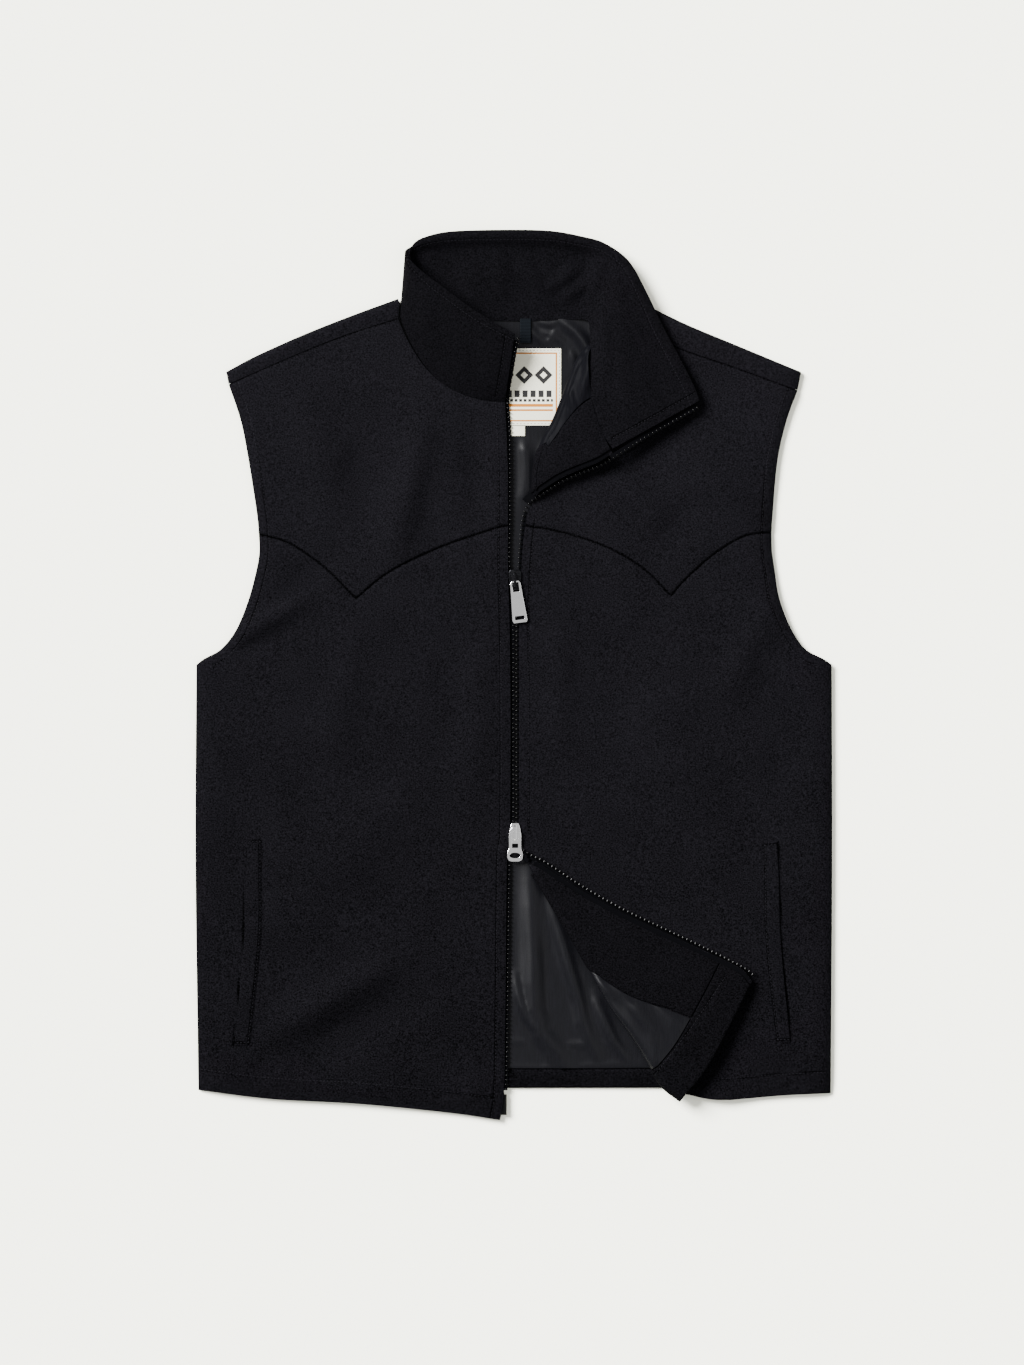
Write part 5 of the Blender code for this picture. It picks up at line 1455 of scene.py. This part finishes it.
def make_metal(name, node, body, material, rounding):
    """A cast piece of the frame with its edges eased."""
    mesh_data = bmesh.new()
    mesh_data.from_mesh(bpy.data.objects[node].data)
    bmesh.ops.remove_doubles(mesh_data, verts=mesh_data.verts, dist=MERGE * MM / 4)
    bmesh.ops.dissolve_limit(mesh_data, angle_limit=math.radians(METAL_FLAT_ANGLE),
                             verts=mesh_data.verts, edges=mesh_data.edges)
    sharp = [edge for edge in mesh_data.edges if len(edge.link_faces) == 2
             and edge.calc_face_angle() > math.radians(METAL_EDGE_ANGLE)]
    ease(mesh_data, sharp, rounding)
    settle(link(name, mesh_data, material), node, body)


def bed_of(*names):
    """The finished surfaces of named pieces, to rest things on."""
    bpy.context.view_layer.update()
    graph = bpy.context.evaluated_depsgraph_get()
    mesh_data = bmesh.new()
    for name in names:
        mesh_data.from_mesh(bpy.data.objects[name].evaluated_get(graph).data)
    tree = BVHTree.FromBMesh(mesh_data)
    mesh_data.free()
    return tree


def make_stitching(thread, pitch):
    """Rows of machine stitches, sunk in their grooves."""
    lines = sewing_lines()
    for key, under in (
            ("front_right", ("front_right_wool", "yoke_right_wool")),
            ("front_left", ("front_left_wool", "yoke_left_wool")),
            ("collar", ("collar_wool", "collar_facing_wool")),
            ("hem_band", ("hem_band_wool",)),
            ("welts", ("welt_right_wool", "welt_left_wool")),
            ("label", ("label_woven",))):
        bed = bed_of(*under)
        mesh_data = bmesh.new()
        for line in lines[key]:
            spots = spaced(line, pitch)
            for spot, way in zip(spots, np.gradient(spots, axis=0)):
                hit, normal = drop(bed, *spot)
                if hit is None or normal.z < STITCH_LEAST_LEVEL:
                    continue
                way = Vector((*way, 0)).normalized()
                way = (way - normal * way.dot(normal)).normalized()
                place = turned_to(hit - normal * STITCH_SUNK * MM, way, way.cross(normal), normal)
                bmesh.ops.create_uvsphere(mesh_data, u_segments=6, v_segments=4, radius=1,
                                          matrix=place @ sized(STITCH_HALF))
        thing = link(f"stitches_{key}", mesh_data, thread)
        thing.data.shade_smooth()
        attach(thing, "cloth")


def tone(code):
    """Linear colour of an sRGB hex code."""
    parts = [int(code[k:k + 2], 16) / 255 for k in (1, 3, 5)]
    return tuple(p / 12.92 if p <= 0.04045 else ((p + 0.055) / 1.055) ** 2.4 for p in parts)


def add_node(tree, kind, inputs=None, **settings):
    """Add a shader node, with its settings and its inputs' values or links."""
    node = tree.nodes.new(kind)
    for name, value in settings.items():
        setattr(node, name, value)
    for name, value in (inputs or {}).items():
        if isinstance(value, bpy.types.NodeSocket):
            tree.links.new(value, node.inputs[name])
        else:
            node.inputs[name].default_value = value
    return node


def new_material(name, values):
    """A material with constant values on its shader's sockets, and its Object coordinates."""
    material = bpy.data.materials.new(name)
    material.use_nodes = True
    tree = material.node_tree
    shader = tree.nodes["Principled BSDF"]
    for socket, value in values.items():
        shader.inputs[socket].default_value = value
    return material, tree, shader, add_node(tree, "ShaderNodeTexCoord").outputs["Object"]


def worked_out(tree, operation, *values):
    """The result of a math node."""
    return add_node(tree, "ShaderNodeMath", dict(enumerate(values)),
                    operation=operation).outputs[0]


def ranged(tree, value, start, end, low, high, curve="LINEAR"):
    """A value carried from one range to another."""
    return add_node(tree, "ShaderNodeMapRange", {
        "Value": value, "From Min": start, "From Max": end, "To Min": low, "To Max": high},
        interpolation_type=curve).outputs["Result"]


def noise(tree, place, scale, detail=2.0, roughness=0.5):
    """Uneven values, from 0 to 1."""
    return add_node(tree, "ShaderNodeTexNoise", {
        "Vector": place, "Scale": scale, "Detail": detail, "Roughness": roughness}).outputs["Fac"]


def bands(tree, place, scale, distortion):
    """Waves across Y, from 0 to 1."""
    return add_node(tree, "ShaderNodeTexWave", {
        "Vector": place, "Scale": scale, "Distortion": distortion},
        bands_direction="Y").outputs["Fac"]


def mottled(tree, shader, amount, color, low, high, span=(0.3, 0.7)):
    """Base colour between a darker and a lighter tone of one colour."""
    ramp = add_node(tree, "ShaderNodeValToRGB", {"Fac": amount})
    for element, position, gain in zip(ramp.color_ramp.elements, span, (low, high)):
        element.position = position
        element.color = (*(c * gain for c in color), 1.0)
    tree.links.new(ramp.outputs["Color"], shader.inputs["Base Color"])


def bumped(tree, shader, height, strength, distance):
    """Fine relief, at most a distance in metres."""
    bump = add_node(tree, "ShaderNodeBump", {
        "Height": height, "Strength": strength, "Distance": distance})
    tree.links.new(bump.outputs["Normal"], shader.inputs["Normal"])


def flannel(name, color, light, gain):
    """Milled woollen flannel: a matt, mottled nap that hides the weave; sewing pulls it into
    grooves, and shade is painted darker beside sewing and seams.
    """
    material, tree, shader, place = new_material(name, {
        "Roughness": 0.94, "Sheen Weight": light, "Sheen Roughness": 0.4,
        "Sheen Tint": (*tone("#8F8CA6"), 1.0), "Specular IOR Level": 0.01})
    # Fibres are 0.02 mm; their tufts show as specks of about 1.3 mm
    nap = noise(tree, place, 780.0, 3.0, 0.7)
    patches = noise(tree, place, 24.0)
    amount = worked_out(tree, "MULTIPLY_ADD", patches, 0.08,
                        worked_out(tree, "MULTIPLY", nap, 0.92))
    # Painted light: the wool is lighter towards the shoulders and darker towards the hem, as the
    # light falls off
    axes = add_node(tree, "ShaderNodeSeparateXYZ", {"Vector": place})
    amount = worked_out(tree, "ADD", amount,
                        ranged(tree, axes.outputs["Y"], -0.35, 0.2, -0.03, 0.03))
    relief = nap
    # Painted shade: darker wool beside sewing and seams, along the back's hem band gap and beside
    # the pockets' mouths, where the grooves fall in shade; the grooves are also bumped
    for attribute, reach, darker, deeper in (("sewing_away", 1.9, -0.12, -1.6),
                                             ("seam_away", 2.1, -0.17, -1.5)):
        away = add_node(tree, "ShaderNodeAttribute", attribute_name=attribute).outputs["Fac"]
        near = ranged(tree, away, 0.2, reach, 1.0, 0.0, "SMOOTHSTEP")
        amount = worked_out(tree, "MULTIPLY_ADD", near, darker, amount)
        relief = worked_out(tree, "MULTIPLY_ADD", near, deeper, relief)
    mottled(tree, shader, amount, color, 0.0, gain, (0.33, 0.67))
    bumped(tree, shader, relief, 0.7, 0.0005)
    return material


def satin(name, color, shine, roughness):
    """Warp-faced viscose satin: smooth, with broad soft highlights and a hint of its warp."""
    material, tree, shader, place = new_material(name, {
        "Roughness": roughness, "Specular IOR Level": shine, "Sheen Weight": 0.002,
        "Anisotropic": 0.35})
    # The warp's real pitch is 0.1 mm; 1 mm streaks are the finest that show
    streaks = add_node(tree, "ShaderNodeMapping", {"Vector": place, "Scale": (1.0, 0.07, 1.0)})
    warp = noise(tree, streaks.outputs["Vector"], 1000.0)
    mottled(tree, shader, warp, color, 0.8, 1.25)
    bumped(tree, shader, warp, 0.12, 0.0002)
    return material


def damask(name, paper, border, motif):
    """Woven damask label: cream ground, thin ochre frame and bars, dark dashes and diamonds."""
    material, tree, shader, place = new_material(name, {
        "Roughness": 0.7, "Specular IOR Level": 0.25, "Sheen Weight": 0.05})
    left, low, right, high = LABEL_BOX
    centre = (-(left + right) / 2, -(low + high) / 2, 0.0)
    local = add_node(tree, "ShaderNodeMapping", {
        "Vector": place, "Scale": (1 / MM,) * 3, "Location": centre}).outputs["Vector"]
    axes = add_node(tree, "ShaderNodeSeparateXYZ", {"Vector": local})
    x, y = axes.outputs["X"], axes.outputs["Y"]

    def on(operation, *values):
        return worked_out(tree, operation, *values)

    def repeated(pitch):
        return on("MODULO", on("ADD", x, LABEL_REPEATS * pitch), pitch)

    def painted(factor, under, over):
        return add_node(tree, "ShaderNodeMix", {"Factor": factor, 6: under, 7: over},
                        data_type="RGBA").outputs[2]

    half_x, half_y = (right - left) / 2 - LABEL_FRAME_IN, (high - low) / 2 - LABEL_FRAME_IN
    out = on("MAXIMUM", on("SUBTRACT", on("ABSOLUTE", x), half_x),
             on("SUBTRACT", on("ABSOLUTE", y), half_y))
    field = on("LESS_THAN", out, -LABEL_FIELD_IN)
    bars = 0.0
    for middle, half in LABEL_BARS:
        bars = on("MAXIMUM", bars, on("COMPARE", y, middle, half))
    lines = on("MAXIMUM", on("COMPARE", out, 0.0, LABEL_FRAME_HALF), on("MULTIPLY", field, bars))
    across = on("ABSOLUTE", on("SUBTRACT", repeated(DIAMOND_PITCH), DIAMOND_PITCH / 2))
    reach = on("ADD", across, on("ABSOLUTE", on("SUBTRACT", y, DIAMOND_Y)))
    figure = on("MULTIPLY", on("LESS_THAN", reach, DIAMOND_HALF),
                on("GREATER_THAN", reach, DIAMOND_HALF * DIAMOND_HOLLOW))
    for middle, half, pitch, length in LABEL_DASHES:
        dash = on("MULTIPLY", on("COMPARE", y, middle, half),
                  on("LESS_THAN", repeated(pitch), length))
        figure = on("MAXIMUM", figure, dash)
    # Real picks are 0.15 mm apart; 0.8 mm ribs show
    weave = bands(tree, local, 0.4, 0.4)
    ground = painted(weave, (*(c * LABEL_DARK for c in paper), 1.0), (*paper, 1.0))
    framed = painted(lines, ground, (*border, 1.0))
    drawing = painted(on("MULTIPLY", field, figure), framed, (*motif, 1.0))
    tree.links.new(drawing, shader.inputs["Base Color"])
    bumped(tree, shader, weave, 0.25, 0.0002)
    return material


def ribbed(name, color, pitch, roughness):
    """Narrow tape woven on a ribbon loom, with ribs across it and a dull shine."""
    material, tree, shader, place = new_material(name, {
        "Roughness": roughness, "Specular IOR Level": 0.02, "Sheen Weight": 0.001})
    # One full wave to each rib
    ribs = bands(tree, place, math.pi / (10 * pitch * MM), 0.3)
    mottled(tree, shader, ribs, color, 0.55, 1.5)
    bumped(tree, shader, ribs, 0.6, 0.0003)
    return material


def acetal(name, color):
    """Moulded polyacetal teeth: black, smooth and slightly waxy, with small sharp glints."""
    material, tree, shader, place = new_material(name, {
        "Roughness": 0.22, "IOR": 1.48, "Specular IOR Level": 0.06})
    mottled(tree, shader, noise(tree, place, 260.0), color, 0.8, 1.2)
    return material


def plated(name, color, roughness, worn):
    """Die-cast zinc, tumbled and plated: bright faces with fine scuffs on them."""
    material, tree, shader, place = new_material(name, {"Metallic": 1.0})
    scuffs = noise(tree, place, 420.0, 5.0, 0.7)
    mottled(tree, shader, scuffs, color, worn, 1.1)
    rough = ranged(tree, scuffs, 0.3, 0.7, roughness * 0.7, roughness * 1.5)
    tree.links.new(rough, shader.inputs["Roughness"])
    bumped(tree, shader, scuffs, 0.15, 0.0002)
    return material


def spun(name, color):
    """Core-spun polyester thread: near black, with a faint shine on each stitch."""
    material, tree, shader, place = new_material(name, {
        "Roughness": 0.5, "Specular IOR Level": 0.04, "Sheen Weight": 0.01})
    mottled(tree, shader, noise(tree, place, 900.0), color, 0.7, 1.3)
    return material


def backing(name, color):
    """Matt backdrop paper."""
    material, tree, shader, place = new_material(name, {
        "Roughness": 1.0, "Specular IOR Level": 0.0})
    mottled(tree, shader, noise(tree, place, 2.0), color, 0.995, 1.005)
    return material


# Finishes: maker, the settings' colours that it takes, and its own values
FINISHES = {
    "wool_flannel": (flannel, ("wool",), (0.003, 0.5)),
    # Painted shade: the outer collar is the same wool in a darker tone, as it stands tilted
    # towards the light
    "wool_flannel_collar": (flannel, ("wool",), (0.002, 0.28)),
    "wool_flannel_inside": (flannel, ("inside",), (0.002, 0.33)),
    "viscose_satin": (satin, ("satin",), (0.07, 0.35)),
    # Painted shade: the same satin with its highlight turned down, for the turned neck corner that
    # tilts towards the light
    "viscose_satin_creased": (satin, ("satin",), (0.006, 0.4)),
    "damask_label": (damask, ("label", "border", "motif"), ()),
    "damask_size_tab": (ribbed, ("tab",), (0.9, 0.6)),
    "grosgrain_loop": (ribbed, ("loop",), (1.3, 0.5)),
    "zip_tape_twill": (ribbed, ("tape",), (1.0, 0.75)),
    "acetal_teeth": (acetal, ("teeth",), ()),
    "nickel_plate": (plated, ("nickel",), (0.24, 0.8)),
    "black_nickel_plate": (plated, ("black_nickel",), (0.3, 0.6)),
    "polyester_thread": (spun, ("thread",), ()),
    "backdrop_paper": (backing, ("backdrop",), ()),
}


def finish(name):
    """The named finish, made when it is first asked for."""
    made = bpy.data.materials.get(name)
    if made is not None:
        return made
    maker, colours, values = FINISHES[name]
    settings = bpy.context.scene.vest_colours
    return maker(name, *(getattr(settings, colour_name) for colour_name in colours), *values)


def make_stage(backdrop):
    """A pale floor just under the vest, soft light from the upper left, and the camera."""
    scene = bpy.context.scene
    mesh_data = bmesh.new()
    bmesh.ops.create_grid(mesh_data, x_segments=1, y_segments=1, size=FLOOR_HALF)
    bmesh.ops.translate(mesh_data, verts=mesh_data.verts, vec=(0, 0, FLOOR_Z * MM))
    link("backdrop", mesh_data, backdrop)
    for name, direction, strength, spread in LIGHTS:
        lamp = bpy.data.lights.new(name, "SUN")
        lamp.energy = strength
        lamp.angle = math.radians(spread)
        thing = bpy.data.objects.new(name, lamp)
        thing.rotation_euler = Vector(direction).to_track_quat("Z", "Y").to_euler()
        scene.collection.objects.link(thing)
    world = bpy.data.worlds.new("Even room light")
    world.use_nodes = True
    background = world.node_tree.nodes["Background"]
    background.inputs["Color"].default_value = (1, 1, 1, 1)
    background.inputs["Strength"].default_value = ROOM_LIGHT
    scene.world = world
    camera = bpy.data.cameras.new("Camera")
    camera.type = "ORTHO"
    camera.ortho_scale = PHOTO_HEIGHT * PHOTO_PIXEL * MM
    thing = bpy.data.objects.new("Camera", camera)
    thing.location = (*CAMERA_AT, CAMERA_HEIGHT)
    scene.collection.objects.link(thing)
    scene.camera = thing


def colour(name, what, code):
    """A colour property."""
    return FloatVectorProperty(name=name, description=what, subtype="COLOR", size=3,
                               min=0.0, max=1.0, default=tone(code))


class VestColours(bpy.types.PropertyGroup):
    """Colours of the vest's cloths and trimmings."""

    wool: colour("Wool", "Outer flannel", "#17161A")
    inside: colour("Inside wool", "Facings, hem bands and the collar's inside", "#17161A")
    satin: colour("Satin", "Lining", "#060608")
    label: colour("Label", "Ground of the neck label", "#BDBBAA")
    border: colour("Label frame", "Thin frame and bars on the neck label", "#8A5206")
    motif: colour("Label motif", "Dashes and diamonds on the neck label", "#050404")
    tab: colour("Size tab", "Small tab under the label", "#B8B6A6")
    loop: colour("Hanger loop", "Ribbed loop", "#06080B")
    tape: colour("Zip tape", "Woven tape", "#010102")
    teeth: colour("Zip teeth", "Moulded teeth and pin", "#030303")
    nickel: colour("Nickel", "Lower slider and both pulls", "#949390")
    black_nickel: colour("Black nickel", "Upper slider", "#19191B")
    thread: colour("Thread", "Topstitching", "#0E0D11")
    backdrop: colour("Backdrop", "Paper under the vest", "#F5F6E6")


class VestSizes(bpy.types.PropertyGroup):
    """Sizes that can be changed without changing the cut."""

    stitch_pitch: FloatProperty(name="Stitch length", description="From stitch to stitch",
                                default=STITCH_PITCH * MM, min=MM, unit="LENGTH")
    tooth_pitch: FloatProperty(name="Tooth pitch", description="From tooth to tooth on a tape",
                               default=TOOTH_PITCH * MM, min=2 * MM, unit="LENGTH")
    metal_round: FloatProperty(name="Metal edge", description="Rounding of the metal's edges",
                               default=METAL_ROUND * MM, min=0.0, unit="LENGTH")
    hem_droop: FloatProperty(name="Hem droop", description="How far the front hems hang down",
                             default=HEM_DROOP * MM, min=0.0, max=4 * MM, unit="LENGTH")


class VEST_OT_back(bpy.types.Operator):
    """Back panel with its satin lining and turned-up hem"""

    bl_idname = "vest.back"
    bl_label = "Back"

    def execute(self, context):
        make_back(finish("wool_flannel"))
        make_back_lining(finish("viscose_satin"))
        make_back_hem_band(finish("wool_flannel_inside"))
        return {"FINISHED"}


class VEST_OT_right_front(bpy.types.Operator):
    """Right front and its pointed yoke"""

    bl_idname = "vest.right_front"
    bl_label = "Right front"

    def execute(self, context):
        make_right_front(finish("wool_flannel"))
        make_right_yoke(finish("wool_flannel"))
        return {"FINISHED"}


class VEST_OT_left_front(bpy.types.Operator):
    """Left front and yoke, with both turned corners"""

    bl_idname = "vest.left_front"
    bl_label = "Left front"

    def execute(self, context):
        wool, inside = finish("wool_flannel"), finish("wool_flannel_inside")
        make_left_front(wool, inside, finish("viscose_satin"))
        make_left_yoke(wool, inside, finish("viscose_satin_creased"))
        return {"FINISHED"}


class VEST_OT_collar(bpy.types.Operator):
    """Stand collar, flopped over on the left"""

    bl_idname = "vest.collar"
    bl_label = "Collar"

    def execute(self, context):
        make_collar(finish("wool_flannel_collar"), finish("wool_flannel_inside"))
        return {"FINISHED"}


class VEST_OT_pockets(bpy.types.Operator):
    """Pocket welts"""

    bl_idname = "vest.pockets"
    bl_label = "Pockets"

    def execute(self, context):
        make_pockets(finish("wool_flannel"))
        return {"FINISHED"}


class VEST_OT_trimmings(bpy.types.Operator):
    """Neck label, size tab and hanger loop"""

    bl_idname = "vest.trimmings"
    bl_label = "Trimmings"

    def execute(self, context):
        make_label(finish("damask_label"), finish("damask_size_tab"), finish("grosgrain_loop"))
        return {"FINISHED"}


class VEST_OT_zip_chain(bpy.types.Operator):
    """Zip tapes, teeth and insertion pin"""

    bl_idname = "vest.zip_chain"
    bl_label = "Zip chain"

    def execute(self, context):
        make_tapes(finish("zip_tape_twill"))
        make_teeth(finish("acetal_teeth"), context.scene.vest_sizes.tooth_pitch / MM)
        make_pin(finish("acetal_teeth"))
        return {"FINISHED"}


class VEST_OT_sliders(bpy.types.Operator):
    """Both sliders and their pull tabs"""

    bl_idname = "vest.sliders"
    bl_label = "Sliders"

    def execute(self, context):
        rounding = context.scene.vest_sizes.metal_round / MM
        for name, node, body, plating in SLIDER_PARTS:
            make_metal(name, node, body, finish(plating), rounding)
        return {"FINISHED"}


class VEST_OT_stitching(bpy.types.Operator):
    """Topstitching"""

    bl_idname = "vest.stitching"
    bl_label = "Stitching"

    def execute(self, context):
        make_stitching(finish("polyester_thread"), context.scene.vest_sizes.stitch_pitch / MM)
        return {"FINISHED"}


class VEST_OT_stage(bpy.types.Operator):
    """Backdrop, lights and camera"""

    bl_idname = "vest.stage"
    bl_label = "Stage"

    def execute(self, context):
        make_stage(finish("backdrop_paper"))
        return {"FINISHED"}


class VEST_PT_dresser(bpy.types.Panel):
    """Lists the vest's settings and pieces"""

    bl_label = "Western Vest"
    bl_idname = "VEST_PT_dresser"
    bl_space_type = "VIEW_3D"
    bl_region_type = "UI"
    bl_category = "Vest"

    def draw(self, context):
        layout = self.layout
        for group in (context.scene.vest_sizes, context.scene.vest_colours):
            for name in group.bl_rna.properties.keys()[2:]:
                layout.prop(group, name)
        for operator in OPERATORS:
            layout.operator(operator.bl_idname)


OPERATORS = (
    VEST_OT_back, VEST_OT_right_front, VEST_OT_left_front, VEST_OT_collar, VEST_OT_pockets,
    VEST_OT_trimmings, VEST_OT_zip_chain, VEST_OT_sliders, VEST_OT_stitching, VEST_OT_stage,
)
CLASSES = (VestColours, VestSizes, *OPERATORS, VEST_PT_dresser)


def register():
    """Register the classes and the scene's settings."""
    for item in CLASSES:
        bpy.utils.register_class(item)
    bpy.types.Scene.vest_colours = PointerProperty(type=VestColours)
    bpy.types.Scene.vest_sizes = PointerProperty(type=VestSizes)


def unregister():
    """Take the settings and classes away again."""
    del bpy.types.Scene.vest_sizes
    del bpy.types.Scene.vest_colours
    for item in reversed(CLASSES):
        bpy.utils.unregister_class(item)


def main():
    """Dress the whole vest."""
    register()
    for operator in OPERATORS:
        group, name = operator.bl_idname.split(".")
        getattr(getattr(bpy.ops, group), name)()


if __name__ == "__main__":
    main()
